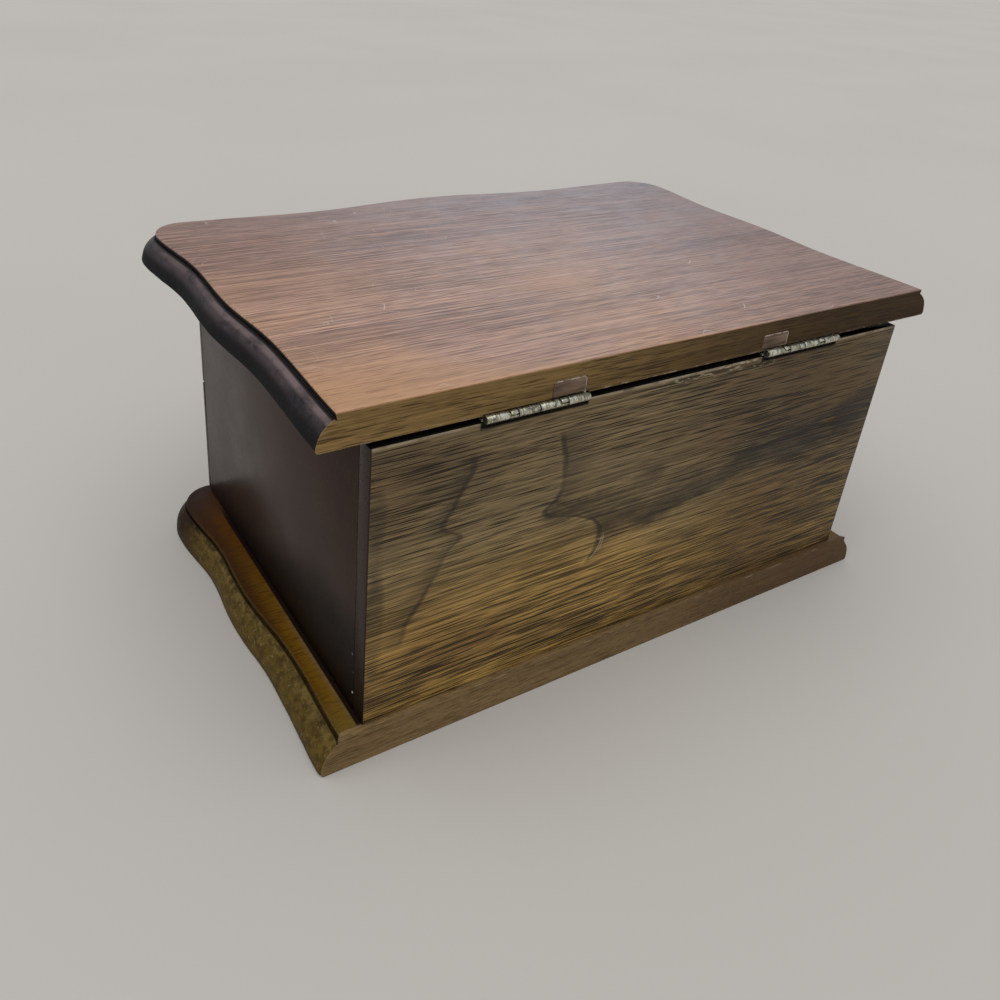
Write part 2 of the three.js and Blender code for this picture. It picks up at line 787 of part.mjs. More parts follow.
function addDrawer() {
  const backOfFront = openY - seatGap;
  const half = innerHalf - drawerClearance;
  const knobX = halfWidth - knobInset;
  const low = caseBottom + drawerLift;
  const high = floorBottom - drawerHeadroom;
  const rear = innerRearY - drawerRearRoom;
  const inside = half - drawerSideThickness;
  const bottomLow = low + drawerBottomRaise;
  const bottomHigh = bottomLow + drawerBottomThickness;
  const bottomHalf = inside + drawerGroove;
  const slack = seatGap / 2;
  const bottomSlot = block(
    [-bottomHalf - slack, backOfFront - drawerGroove - slack, bottomLow - slack],
    [bottomHalf + slack, rear + overrun, bottomHigh + slack],
  );
  const shankHoles = [-1, 1].map((side) => {
    const radius = knobShankRadius + slack;
    const hole = new THREE.CylinderGeometry(radius, radius, (frontThickness + overrun) * 2, knobSides);
    hole.translate(side * knobX, backOfFront, (low + high) / 2);
    return toSolid(hole);
  });
  const front = lippedFront(backOfFront, caseBottom + drawerFrontLift, drawerFrontTop);
  addPiece('drawer_front', cut(front, bottomSlot, ...shankHoles), sideWood);
  for (const [name, side] of [['left', -1], ['right', 1]]) {
    const inner = side * inside;
    const outer = side * half;
    const wall = block([Math.min(inner, outer), backOfFront, low], [Math.max(inner, outer), rear, high]);
    addPiece(`drawer_side_${name}`, cut(wall, bottomSlot), innerWood);
    const knobPlace = [side * knobX, backOfFront - frontThickness, (low + high) / 2];
    addPiece(`drawer_knob_${name}`, knobSolid().translate(knobPlace), brass);
  }
  const backWall = block(
    [-inside, rear - drawerSideThickness, bottomHigh + slack],
    [inside, rear, high],
  );
  addPiece('drawer_back', backWall, innerWood);
  const bottom = block(
    [-bottomHalf, backOfFront - drawerGroove, bottomLow],
    [bottomHalf, rear, bottomHigh],
  );
  addPiece('drawer_bottom', bottom, innerWood);
  const lining = block(
    [-inside, backOfFront, bottomHigh],
    [inside, rear - drawerSideThickness, bottomHigh + liningThickness],
  );
  addPiece('drawer_lining', lining, felt);
}

addBase();
addCarcase();
addLinings();
addDividers();
addRingCushion();
addLid();
addHinges();
addMirror();
addDrawer();

export default chest;
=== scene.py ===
import json
from math import cos, pi, radians, sin

import bmesh
import bpy
from mathutils import Matrix, Vector


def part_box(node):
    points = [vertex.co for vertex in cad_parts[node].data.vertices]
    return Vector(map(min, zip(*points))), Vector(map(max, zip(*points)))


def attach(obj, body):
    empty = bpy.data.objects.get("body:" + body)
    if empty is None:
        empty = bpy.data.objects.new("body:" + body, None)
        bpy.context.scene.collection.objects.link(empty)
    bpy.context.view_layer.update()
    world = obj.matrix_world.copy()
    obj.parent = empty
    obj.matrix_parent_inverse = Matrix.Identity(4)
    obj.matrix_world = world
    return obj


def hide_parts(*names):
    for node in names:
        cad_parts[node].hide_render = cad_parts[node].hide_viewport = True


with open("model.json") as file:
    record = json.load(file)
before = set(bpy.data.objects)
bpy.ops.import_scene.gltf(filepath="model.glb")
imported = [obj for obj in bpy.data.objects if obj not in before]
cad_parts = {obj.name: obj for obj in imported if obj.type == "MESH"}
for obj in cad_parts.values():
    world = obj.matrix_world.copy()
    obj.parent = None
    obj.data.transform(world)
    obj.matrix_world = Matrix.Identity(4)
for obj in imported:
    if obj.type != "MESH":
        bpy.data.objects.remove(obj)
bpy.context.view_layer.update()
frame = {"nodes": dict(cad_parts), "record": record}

nodes = frame["nodes"]
mm = 0.001
sides = ("left", "right")
bodies = frame["record"]["behaviour"]["bodies"]
bodyOf = {member: body for body, members in bodies.items() for member in members}
slotOf = {part["node"]: part["material_slot"] for part in frame["record"]["subparts"]}
print("chest: frame loaded,", len(nodes), "nodes")


class Values(dict):
    # a dictionary of one piece's values, whose keys can be read with a dot
    __getattr__ = dict.__getitem__


def operate(operation, flip=False):
    # a method of a wire that is one sum: flip puts the wire second
    def method(self, other=None):
        pair = [other, self] if flip else [self, other]
        inputs = {spot: value for spot, value in enumerate(pair) if value is not None}
        return self.node("ShaderNodeMath", {"operation": operation}, inputs)
    return method


class Wire:
    # a shader socket that takes part in Python sums
    def __init__(self, tree, socket):
        self.tree = tree
        self.socket = socket

    def node(self, kind, settings=None, inputs=None, out=0):
        made = self.tree.nodes.new(kind)
        for name, value in (settings or {}).items():
            if name == "bends":
                fillCurve(made.mapping, value)
            else:
                setattr(made, name, value)
        for name, value in (inputs or {}).items():
            if isinstance(value, Wire):
                self.tree.links.new(value.socket, made.inputs[name])
            else:
                made.inputs[name].default_value = value
        return Wire(self.tree, made.outputs[out])

    __add__ = operate("ADD")
    __sub__ = operate("SUBTRACT")
    __rsub__ = operate("SUBTRACT", True)
    __mul__ = operate("MULTIPLY")
    __truediv__ = operate("DIVIDE")
    __abs__ = operate("ABSOLUTE")
    most = operate("MAXIMUM")

    def fit(self, low, high, start=0.0, end=1.0):
        # eases from start to end as the value goes from low to high
        inputs = {0: self, 1: low, 2: high, 3: start, 4: end}
        return self.node("ShaderNodeMapRange", {"interpolation_type": "SMOOTHSTEP"}, inputs)

    def near(self, middle, reach, soft):
        # 1 within reach of middle, easing to 0 over soft
        return abs(self - middle).fit(reach, reach + soft, 1.0, 0.0)

    def mix(self, low, high):
        # this value is the share of the high colour
        inputs = {0: self, 6: opaque(low), 7: opaque(high)}
        return self.node("ShaderNodeMix", {"data_type": "RGBA"}, inputs, 2)

    def curve(self, bends, low, high):
        # a drawn curve: bends are (share of low..high, value) pairs
        share = (self - low) / (high - low)
        return self.node("ShaderNodeFloatCurve", {"bends": bends}, {1: share})

    def scaled(self, scale, shift=0.0):
        # scale is one number or one for each axis
        scale = scale if isinstance(scale, (tuple, list)) else (scale,) * 3
        return self.vector("MULTIPLY", scale).vector("ADD", (shift,) * 3)

    def vector(self, operation, other):
        return self.node("ShaderNodeVectorMath", {"operation": operation}, {0: self, 1: other})

    def noise(self, scale, detail, roughness, shift, *span):
        # scale is in turns per metre along each axis, and span is what the noise is fitted to
        inputs = {"Vector": self.scaled(scale, shift), "Scale": 1.0, "Detail": detail, "Roughness": roughness}
        made = self.node("ShaderNodeTexNoise", None, inputs)
        return made.fit(*span) if span else made

    def dashes(self, scale, size, shift=0.0):
        # short drawn out spots, 1 inside: size is a spot's share of its cell
        inputs = {"Vector": self.scaled(scale, shift), "Scale": 1.0}
        return (self.node("ShaderNodeTexVoronoi", None, inputs) - size).fit(-0.08, 0.06, 1.0, 0.0)

    def parts(self):
        # x, y and z in millimetres
        scaled = self.scaled(1000.0)
        return [scaled.node("ShaderNodeSeparateXYZ", None, {0: scaled}, out) for out in range(3)]

    def bent(self, x, y, z):
        # the place moved by three values in millimetres
        shift = self.node("ShaderNodeCombineXYZ", None, {0: x, 1: y, 2: z}).scaled(mm)
        return self.vector("ADD", shift)


def opaque(colour):
    return colour if isinstance(colour, Wire) else (*colour, 1.0)


def fillCurve(mapping, bends):
    line = mapping.curves[0]
    line.points[0].location = bends[0]
    line.points[1].location = bends[-1]
    for bend in bends[1:-1]:
        line.points.new(*bend)
    mapping.update()


def openMaterial(name):
    material = bpy.data.materials.new(name)
    material.use_nodes = True
    tree = material.node_tree
    coordinate = tree.nodes.new("ShaderNodeTexCoord")
    return material, Wire(tree, coordinate.outputs["Object"])


def closeMaterial(material, colour, roughness, height=None, depth=0.1, metallic=None, **fixed):
    # depth is the height of the bumps in millimetres
    shader = material.node_tree.nodes["Principled BSDF"]
    links = material.node_tree.links
    links.new(colour.socket, shader.inputs["Base Color"])
    links.new(roughness.socket, shader.inputs["Roughness"])
    if metallic is not None:
        links.new(metallic.socket, shader.inputs["Metallic"])
    if height is not None:
        inputs = {"Height": height, "Distance": depth * mm, "Strength": 1.0}
        links.new(height.node("ShaderNodeBump", None, inputs).socket, shader.inputs["Normal"])
    for name, value in fixed.items():
        shader.inputs[name.replace("_", " ")].default_value = value
    return material


def boxOf(node):
    # low and high corner in millimetres
    low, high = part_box(node)
    return [c / mm for c in low], [c / mm for c in high]


def layered(colour, *layers):
    # each layer is a share and a colour, laid over those before it
    for share, over in layers:
        colour = share.mix(colour, over)
    return colour


def grainOf(place, values):
    # wood grain along X: slow bands, fine streaks and short open pores, each from 0 to 1
    seed = values.seed
    drift = (place.noise((4, 7, 7), 1, 0.55, seed) - 0.5) * values.drift
    lie = place.bent(0.0, drift, drift)
    band = lie.noise(values.band, 3, 0.6, seed + 3, 0.3, 0.7)
    streak = lie.noise(values.streak, 4, 0.65, seed + 7, 0.3, 0.7)
    dense = place.noise(values.crowd, 2, 0.55, seed + 9, 0.3, 0.7, *values.poreSizes)
    pore = lie.dashes(values.pore, dense, seed + 11)
    small = lie.dashes([share * 1.9 for share in values.pore], dense, seed + 13)
    return band, streak, pore.most(small * 0.7)


# In the finishes a mask is (start, end), mostly in millimetres, with the shares that it goes from and to
# where these aren't 0 and 1. A noise is (scale, detail, roughness, shift), and then the mask that it is
# fitted to where it has one. A band is (middle, reach, softness).
lidValues = Values(
    seed=2, drift=7, band=(4, 60, 60), streak=(12, 1000, 1000),
    pore=(60, 1150, 1150), poreSizes=(0.22, 0.38), crowd=(14, 30, 30),
    fine=((26, 1250, 1250), 2, 0.6, 25, 0.38, 0.62), warmth=((9, 14, 14), 2, 0.55, 5, 0.36, 0.6, 0, 0.65),
    hair=(60, 1, 0.55, 21), hairParts=(45, 0, 0.55, 33, 0.64, 0.68, 0, 0.6),
    wear=((70, 70, 200), 5, 0.65, 40), dusty=(420, 4, 0.7, 44, 0.55, 0.72),
    chip=((260, 260, 700), 3, 0.65, 50, 0.52, 0.6),
    light=(0.56, 0.33, 0.225), dark=(0.095, 0.052, 0.042), warm=(0.48, 0.255, 0.11),
    poreColour=(0.07, 0.036, 0.028), far=(0.15, 0.095, 0.085), scratch=(0.62, 0.54, 0.5),
    mould=(0.005, 0.003, 0.004), mouldWorn=(0.055, 0.035, 0.036), mouldLow=(0.002, 0.001, 0.001),
    shoulder=(0.17, 0.12, 0.116), quirk=(0.002, 0.001, 0.001), dust=(0.1, 0.082, 0.082),
    underLight=(0.085, 0.042, 0.024), underDark=(0.03, 0.014, 0.009),
    rearLight=(0.34, 0.21, 0.075), rearDark=(0.075, 0.042, 0.012), rearPore=(0.02, 0.01, 0.003),
    rearEdge=(0.42, 0.34, 0.27), rearFar=(0.024, 0.011, 0.003),
    # far with its masks is painted shade where the light falls off across and along
    warmAcross=(-50, 50), warmAlong=(-30, 40), farAcross=(15, -120, 0, 0.46),
    farAlong=(10, -70, 0, 0.4), hairWidth=(0.0012, 0.003, 1, 0), shoulderAlong=(-40, 60, 0.45, 1),
    rearAcross=(100, -90, 0.05, 0.85), rimAcross=(-60, 60, 0.4, 1),
    # bands and masks of the edge, measured in from the top, the rear and the underside
    crownBand=(3.3, 0.9, 3), shoulderBand=(2.9, 0.5, 1), lowMask=(6, 9.5, 0, 0.8),
    quirkMask=(2.8, 2.4), upperRim=(0.8, 0.2, 0, 0.4), lowerRim=(11.1, 11.7, 0, 0.55),
    dullMask=(4.5, 8.5, 0, 0.3), onTop=(0.55, 0.3), onRear=(0.5, 0.2), onUnder=(0.3, 0.1),
)
# Light scratches on the lid's top: middle across and along, half length, turn in degrees
lidScratches = [
    (84.4, 29.9, 3.2, 62), (82.9, 35.4, 2, -20), (-59.6, 31.9, 3, 40), (-53.5, 72.5, 4.5, -25),
    (-43.2, 78.3, 3, 50),
]


def scratchMark(x, y, mark):
    # a thin, slightly bowed scratch round a middle
    middleX, middleY, half, turn = mark
    ahead, aside = cos(radians(turn)), sin(radians(turn))
    along = (x - middleX) * ahead + (y - middleY) * aside
    across = (y - middleY) * ahead - (x - middleX) * aside
    return along.near(0.0, half * 0.6, half * 0.4) * (across + along * along * 0.04).near(0.0, 0.06, 0.22)


def scratched(x, y, marks, share=None):
    # the strongest of the scratches, and of the share given
    for mark in marks:
        here = scratchMark(x, y, mark)
        share = share.most(here) if share else here
    return share


def lidWood():
    material, place = openMaterial("lidWood")
    x, y, z = place.parts()
    low, high = boxOf("lid_board")
    own, fall, inwards = lidValues, high[2] - z, high[1] - y
    band, streak, pore = grainOf(place, own)
    # veneered top
    fine = place.noise(*own.fine)
    warmth = place.noise(*own.warmth) * x.fit(*own.warmAcross) * y.fit(*own.warmAlong)
    hair = abs(place.noise(*own.hair) - 0.5).fit(*own.hairWidth)
    hair = hair * place.noise(*own.hairParts)
    veneer = layered(
        (streak * 0.52 + band * 0.18 + fine * 0.3).mix(own.dark, own.light),
        (warmth, own.warm),
        # painted shade: the veneer is darker towards -X and towards the front, where the light falls off
        (x.fit(*own.farAcross).most(y.fit(*own.farAlong)), own.far),
        (pore * 0.5, own.poreColour),
        (scratched(x, y, lidScratches, hair) * 0.55, own.scratch),
    )
    # moulding on the front and ends
    wear = place.noise(*own.wear)
    crown = fall.near(*own.crownBand)
    # painted highlight on the worn shoulder by the quirk
    shoulder = fall.near(*own.shoulderBand) * wear.fit(0.36, 0.58, 0.25, 0.9)
    mould = layered(
        # painted highlight along the crown of the thumb, broken up by wear
        (wear.fit(0.3, 0.6) * crown).mix(own.mould, own.mouldWorn),
        (shoulder * y.fit(*own.shoulderAlong), own.shoulder),
        # painted shade on the lower part of the thumb
        (fall.fit(*own.lowMask), own.mouldLow),
        (place.noise(*own.dusty) * crown.fit(0, 1, 0.12, 0.45), own.dust),
        # dirt and painted shade in the quirk
        (fall.fit(*own.quirkMask), own.quirk),
    )
    # square cut rear edge
    rim = fall.fit(*own.upperRim).most(fall.fit(*own.lowerRim)) * x.fit(*own.rimAcross)
    rear = layered(
        (streak * 0.6 + band * 0.4).mix(own.rearDark, own.rearLight),
        (pore * 0.7, own.rearPore),
        (x.fit(*own.rearAcross), own.rearFar),
        (rim * place.noise(*own.chip), own.rearEdge),
    )
    # stained underside
    under = (streak * 0.6 + band * 0.4).mix(own.underDark, own.underLight)
    under = (pore * 0.6).mix(under, own.rearPore)
    onTop, onRear = fall.fit(*own.onTop), inwards.fit(*own.onRear)
    onUnder = (z - low[2]).fit(*own.onUnder)
    colour = onTop.mix(onRear.mix(onUnder.mix(mould, under), rear), veneer)
    roughness = onTop.fit(0, 1, 0.42, 0.36) + streak * 0.05 + wear.fit(0.3, 0.7) * 0.08
    roughness = roughness + (onRear * 0.25).most(fall.fit(*own.dullMask)) * (1 - onTop)
    height = streak * 0.25 - pore * 0.8 + wear.fit(0.3, 0.7) * (1 - onTop) * 1.5
    return closeMaterial(material, colour, roughness, height, 0.04, Specular_IOR_Level=0.2)


baseValues = Values(
    seed=14, drift=5, band=(6, 70, 70), streak=(16, 950, 950),
    pore=(110, 1500, 1500), poreSizes=(0.25, 0.36), crowd=(30, 30, 30),
    wear=((260, 260, 380), 6, 0.75, 60), dusting=(650, 4, 0.7, 64, 0.58, 0.7, 0, 0.4),
    patchy=(150, 5, 0.7, 66, 0.38, 0.6), chip=((160, 160, 420), 4, 0.65, 70, 0.5, 0.6),
    light=(0.175, 0.084, 0.004), farLight=(0.088, 0.03, 0.001), dark=(0.04, 0.013, 0.001),
    dusty=(0.17, 0.11, 0.055), rearField=(0.13, 0.088, 0.016), foot=(0.005, 0.001, 0.001),
    poreColour=(0.018, 0.008, 0.002), mould=(0.122, 0.078, 0.014), mouldDark=(0.058, 0.034, 0.007),
    shoulder=(0.17, 0.118, 0.036), dust=(0.34, 0.3, 0.2),
    corner=(0.022, 0.011, 0.009), farMould=(0.011, 0.003, 0.002),
    rearLight=(0.29, 0.195, 0.09), rearDark=(0.13, 0.078, 0.032), rearFar=(0.07, 0.038, 0.018),
    rearEdge=(0.46, 0.38, 0.27),
    goldAlong=(-40, 55), goldAcross=(131.5, 124.5, 0, 0.8), dustyAcross=(125, 122.6),
    dustyAlong=(0, 60, 0, 0.6), rearTone=(68, 92, 0, 0.6), footLine=(121, 1.3, 0.35),
    footAlong=(-60, -40, 0, 0.95), cornerAlong=(-35, -75, 0, 0.85), lowMask=(4, 0.8, 0, 0.75),
    farAlong=(-28, -58), raggedAlong=(30, -30, 0.5, 1), rearAcross=(80, -110, 0, 0.75),
    # bands and masks of the edge, measured in from the top and the rear
    shoulderBand=(3.4, 0.7, 1.4), quirkBand=(1.6, 0.7, 0.6), raggedBand=(2.6, 0.6, 1.6),
    upperRim=(1.4, 0.2, 0, 0.55), onTop=(0.6, 0.3), onRear=(0.5, 0.2), onLedge=(3.2, 2.2),
)


def baseWood():
    material, place = openMaterial("baseWood")
    x, y, z = place.parts()
    low, high = boxOf("base_board")
    own, fall, inwards, across = baseValues, high[2] - z, high[1] - y, abs(x)
    band, streak, pore = grainOf(place, own)
    # top, golden at the rear of the ends and dark at the front corners
    golden = y.fit(*own.goldAlong).mix(own.farLight, own.light)
    field = layered(
        (across.fit(*own.goldAcross) + streak * 0.2).mix(own.dark, golden),
        (across.fit(*own.dustyAcross) * y.fit(*own.dustyAlong), own.dusty),
        (y.fit(*own.rearTone), own.rearField),
        (pore * 0.5, own.poreColour),
        # dirt and painted shade in the corner at the foot of the side panels
        (across.near(*own.footLine) * y.fit(*own.footAlong), own.foot),
        (y.fit(*own.cornerAlong), own.corner),
    )
    # moulding
    wear = place.noise(*own.wear)
    patchy = place.noise(*own.patchy)
    ragged = fall.near(*own.raggedBand) * patchy.fit(0.35, 1) * y.fit(*own.raggedAlong)
    mould = layered(
        wear.fit(0.34, 0.64).mix(own.mouldDark, own.mould),
        # painted highlight on the worn shoulder by the quirk
        (fall.near(*own.shoulderBand) * wear.fit(0.4, 0.6) * 0.6, own.shoulder),
        # painted shade at the bottom of the moulding, by the floor
        (z.fit(*own.lowMask), own.mouldDark),
        (place.noise(*own.dusting), own.dust),
        (y.fit(*own.farAlong) * patchy.fit(0, 1, 0.74, 0.95), own.farMould),
        # dirt and painted shade in the quirk and along its ragged edge
        (fall.near(*own.quirkBand).most(ragged) * 0.9, own.poreColour),
    )
    # square cut rear edge and the ledge before it
    rear = layered(
        (streak * 0.55 + band * 0.45).mix(own.rearDark, own.rearLight),
        (pore * 0.5, own.poreColour),
        (x.fit(*own.rearAcross), own.rearFar),
    )
    field = inwards.fit(*own.onLedge).mix(field, rear)
    rim = fall.fit(*own.upperRim) * place.noise(*own.chip)
    rear = rim.mix(rear, own.rearEdge)
    onTop = fall.fit(*own.onTop)
    colour = onTop.mix(inwards.fit(*own.onRear).mix(mould, rear), field)
    roughness = wear.fit(0.3, 0.7) * 0.14 + 0.4
    height = streak * 0.3 - pore + wear.fit(0.3, 0.7) * (1 - onTop) * 2.0
    return closeMaterial(material, colour, roughness, height, 0.06, Specular_IOR_Level=0.06)


backValues = Values(
    seed=31, drift=7, band=(5, 65, 65), streak=(15, 1100, 1100),
    pore=(34, 1450, 1450), poreSizes=(0.26, 0.5), crowd=(9, 14, 22), gash=(24, 850, 850),
    lowering=(12, 2, 0.55, 78), fine=((28, 1300, 1300), 2, 0.6, 82, 0.38, 0.62),
    warmth=((8, 8, 20), 3, 0.55, 80, 0.46, 0.66, 0, 0.5),
    light=(0.385, 0.268, 0.122), dark=(0.038, 0.026, 0.012), poreColour=(0.012, 0.007, 0.003),
    lowLight=(0.64, 0.39, 0.108), lowDark=(0.052, 0.028, 0.008), aged=(0.075, 0.062, 0.045),
    end=(0.026, 0.011, 0.007), endLow=(0.006, 0.002, 0.001), black=(0.004, 0.003, 0.002),
    far=(0.05, 0.032, 0.014), warm=(0.19, 0.098, 0.032), pale=(0.4, 0.33, 0.22),
    lower=(100, 58), agedUp=(55, 105, 0, 0.3), farAcross=(15, -60, 0, 0.42),
    cornerAcross=(70, 115), cornerUp=(75, 118, 0, 0.2), gashAcross=(-60, 10, 0, 0.9), endUp=(62, 30),
    # masks measured in from the ends and the top
    onEnd=(0.6, 0.3), onTop=(0.14, 0.06), hingeDirt=(3, 1.9),
)
# Pale scratches where something has scraped the back, given as the lid's are
backScratches = [
    (26, 58.5, 6, 115), (24.2, 60.5, 4.5, 100), (27.5, 56, 3, 140), (25, 62.5, 2, 10),
]


def backWood():
    material, place = openMaterial("backWood")
    x, y, z = place.parts()
    low, high = boxOf("back_panel")
    own, fall = backValues, high[2] - z
    band, streak, pore = grainOf(place, own)
    lower = (z + place.noise(*own.lowering) * 40).fit(*own.lower)
    lightWood = lower.mix(own.light, own.lowLight)
    darkWood = lower.mix(own.dark, own.lowDark)
    fine = place.noise(*own.fine)
    # painted shade: darker towards -X and in the top corner at +X
    cornerShade = x.fit(*own.cornerAcross) * z.fit(*own.cornerUp)
    gash = place.dashes(own.gash, 0.36, 88.0) * lower * x.fit(*own.gashAcross)
    wood = layered(
        (streak * 0.4 + band * 0.22 + fine * 0.38).mix(darkWood, lightWood),
        (place.noise(*own.warmth), own.warm),
        # painted shade: the upper part darker and greyer
        (z.fit(*own.agedUp), own.aged),
        (x.fit(*own.farAcross).most(cornerShade), own.far),
        (pore.most(gash) * 0.92, own.poreColour),
    )
    # stained ends, and painted shade along the top edge under the lid and round the hinges
    ended = (high[0] - abs(x)).fit(*own.onEnd)
    topAndHingeShade = fall.fit(*own.onTop)
    for side in sides:
        first, last = boxOf("hinge_pin_" + side)
        middle, half = (first[0] + last[0]) / 2, (last[0] - first[0]) / 2
        topAndHingeShade = topAndHingeShade.most(x.near(middle, half + 0.6, 0.7) * fall.fit(*own.hingeDirt))
    colour = layered(
        stained(place, x, z, wood, streak),
        (scratched(x, z, backScratches) * 0.75, own.pale),
        (ended, z.fit(*own.endUp).mix(own.end, own.endLow)),
        # painted shade: near black along the top edge and under the hinges
        (topAndHingeShade, own.black),
    )
    roughness = streak * 0.12 + 0.48 - ended * 0.2
    return closeMaterial(material, colour, roughness, streak * 0.35 - pore, 0.08, Specular_IOR_Level=0.2)


# Water stains: each tide line is a curve of x over the height, and the dark tongue one of z over x
stainValues = Values(
    colour=(0.026, 0.02, 0.015), scuffColour=(0.4, 0.33, 0.22),
    wobbleX=(90, 4, 0.6, 90), wobbleZ=((45, 45, 60), 4, 0.6, 95),
    faint=(40, 2, 0.55, 97, 0.35, 0.62, 0.55, 1), patchy=((34, 34, 70), 5, 0.65, 99, 0.32, 0.6, 0.35, 1),
    scuff=((220, 300, 700), 4, 0.65, 104, 0.54, 0.6), arris=(120, 3, 0.55, 106, 0.4, 0.55, 0.15, 0.6),
    scuffUp=(119, 123, 0, 0.75), scuffBand=(-20, 24, 12), arrisUp=(123.1, 123.6),
)
tideLines = [
    Values(start=43, end=115, weight=0.9, width=1.7, spread=10,
           bends=[(0, 108.5), (0.14, 106.3), (0.26, 101.2), (0.38, 96.5), (0.5, 92.2), (0.55, 87.5),
                  (0.63, 94.7), (0.73, 90.5), (0.83, 87.4), (0.9, 84.5), (1, 86)]),
    Values(start=52, end=115, weight=0.95, width=1.8, spread=-15,
           bends=[(0, 30.7), (0.19, 26), (0.31, 28.5), (0.39, 39), (0.48, 53), (0.55, 48.8),
                  (0.73, 46.7), (1, 50.5)]),
]
tongue = Values(
    start=-120, end=58, tip=(60, 52),
    middle=[(0, 90), (0.12, 84), (0.3, 79.5), (0.44, 77), (0.55, 72), (0.68, 69.5),
            (0.76, 74), (0.86, 80), (1, 86)],
    width=[(0, 9), (0.15, 10), (0.3, 8), (0.45, 6), (0.6, 6.5), (0.7, 9),
           (0.8, 8.5), (0.88, 4), (1, 0.5)],
    holes=[(-92.8, 81.9, 6.5), (-80.1, 66.9, 5.5)],
)
# Smudges: middle, half width, half height and weight
smudges = [
    (10, 67, 20, 7, 1), (6, 84.5, 9, 5, 0.85), (-17, 74, 22, 6, 0.85), (-41, 75, 14, 5, 0.5),
    (-78, 80, 18, 8, 0.7), (46, 79.5, 10, 4, 0.7), (118, 60, 4, 26, 0.75), (118, 98, 3.5, 14, 0.6),
    (88, 108, 26, 9, 0.45),
]


def drawnCurve(value, bends, low, high, base, reach):
    # bends hold real sizes, and the curve node works from 0 to 1
    shares = [(share, (size - base) / reach) for share, size in bends]
    return value.curve(shares, low, high) * reach + base


def stained(place, x, z, colour, streak):
    own = stainValues
    wobbleX, wobbleZ = place.noise(*own.wobbleX) - 0.5, place.noise(*own.wobbleZ) - 0.5
    faint = place.noise(*own.faint)
    for line in tideLines:
        away = x - drawnCurve(z, line.bends, line.start, line.end, 0.0, 120.0) + wobbleX * 4
        inside = z.fit(line.start, line.start + 3) * z.fit(line.end, line.end - 4)
        mark = away.near(0.0, line.width * 0.2, line.width) * faint * 0.8
        damp = away.fit(line.spread, 0.0) * away.fit(line.spread * -0.05, 0.0) * 0.42
        colour = (mark.most(damp) * inside * line.weight).mix(colour, own.colour)
    middle = drawnCurve(x, tongue.middle, tongue.start, tongue.end, 60.0, 40.0)
    reach = drawnCurve(x, tongue.width, tongue.start, tongue.end, 0.0, 20.0)
    away = abs(z - middle + wobbleZ * 16)
    patchy = place.noise(*own.patchy)
    dark = (away / reach).fit(0.45, 1.2, 1.0, 0.0) * x.fit(*tongue.tip) * patchy
    dark = dark * streak.fit(0, 1, 1.0, 0.75)
    for middleX, middleZ, size in tongue.holes:
        off = ((x - middleX) * (x - middleX) + (z - middleZ) * (z - middleZ)) / size ** 2
        dark = dark * off.fit(0.5, 1.3)
    for middleX, middleZ, wide, tall, weight in smudges:
        across, up = (x - middleX) / wide, (z - middleZ + wobbleZ * 10) / tall
        dark = dark.most((across * across + up * up).fit(0.2, 1.3, weight, 0.0) * patchy)
    # the worn arris and the scuffs under the lid
    arris = z.fit(*own.arrisUp) * place.noise(*own.arris)
    scuff = place.noise(*own.scuff) * z.fit(*own.scuffUp) * x.near(*own.scuffBand)
    return layered(
        colour, (dark * 0.82, own.colour), (arris, own.scuffColour), (scuff, own.scuffColour),
    )


sideValues = Values(
    seed=47, drift=5, band=(5, 45, 45), streak=(10, 500, 500),
    pore=(60, 1400, 1400), poreSizes=(0.2, 0.3), crowd=(30, 30, 30),
    rub=(30, 3, 0.55, 112), specks=(900, 2, 0.55, 110, 0.64, 0.72, 0, 0.3),
    glueDrops=(500, 1, 0.55, 118, 0.66, 0.7), dull=(40, 4, 0.55, 125, 0.3, 0.7, 0, 0.06),
    light=(0.04, 0.018, 0.0105), dark=(0.023, 0.0098, 0.006), poreColour=(0.006, 0.003, 0.002),
    low=(0.0035, 0.001, 0.0005), speck=(0.1, 0.075, 0.065), glue=(0.62, 0.6, 0.55),
    onSide=(112, 116), lowMask=(56, 30), farAlong=(30, -50, 0, 0.6), outer=(110, 118),
    glueBand=(86, 1.3, 1), glueUp=(46, 26),
    cutMiddle=(66, 70.5), cutSlope=0.34, cutWidth=(0, 0.12, 0.25), cutBand=(66, 5, 1.5),
)


def sideWood():
    material, place = openMaterial("sideWood")
    x, y, z = place.parts()
    own = sideValues
    band, streak, pore = grainOf(place, own)
    # painted dark reflection of the base and painted shade, along the foot of the side
    lowShadeBand = (z + place.noise(*own.rub) * 14 - y * 0.25).fit(*own.lowMask) * abs(x).fit(*own.onSide)
    # drops of glue by the rear corner and a short cut above them
    outer = x.fit(*own.outer)
    glue = place.noise(*own.glueDrops) * y.near(*own.glueBand)
    glue = glue * z.fit(*own.glueUp) * outer
    cutY, cutZ = own.cutMiddle
    cut = (z - cutZ + (y - cutY) * own.cutSlope).near(*own.cutWidth) * y.near(*own.cutBand) * outer
    wood = layered(
        (streak * 0.5 + band * 0.5).mix(own.dark, own.light),
        (pore * 0.35, own.poreColour),
        # painted shade: the far half darker
        (y.fit(*own.farAlong), own.dark),
        # painted dark reflection and shade along the foot
        (lowShadeBand, own.low),
        (place.noise(*own.specks), own.speck),
        (glue * 0.9, own.glue),
        (cut * 0.8, own.poreColour),
    )
    roughness = streak * 0.04 + place.noise(*own.dull) + 0.26 + lowShadeBand * 0.15
    height = streak * 0.15 - pore * 0.4 - cut * 2 + glue * 2
    return closeMaterial(material, wood, roughness, height, 0.012, Specular_IOR_Level=0.3, IOR=1.3)


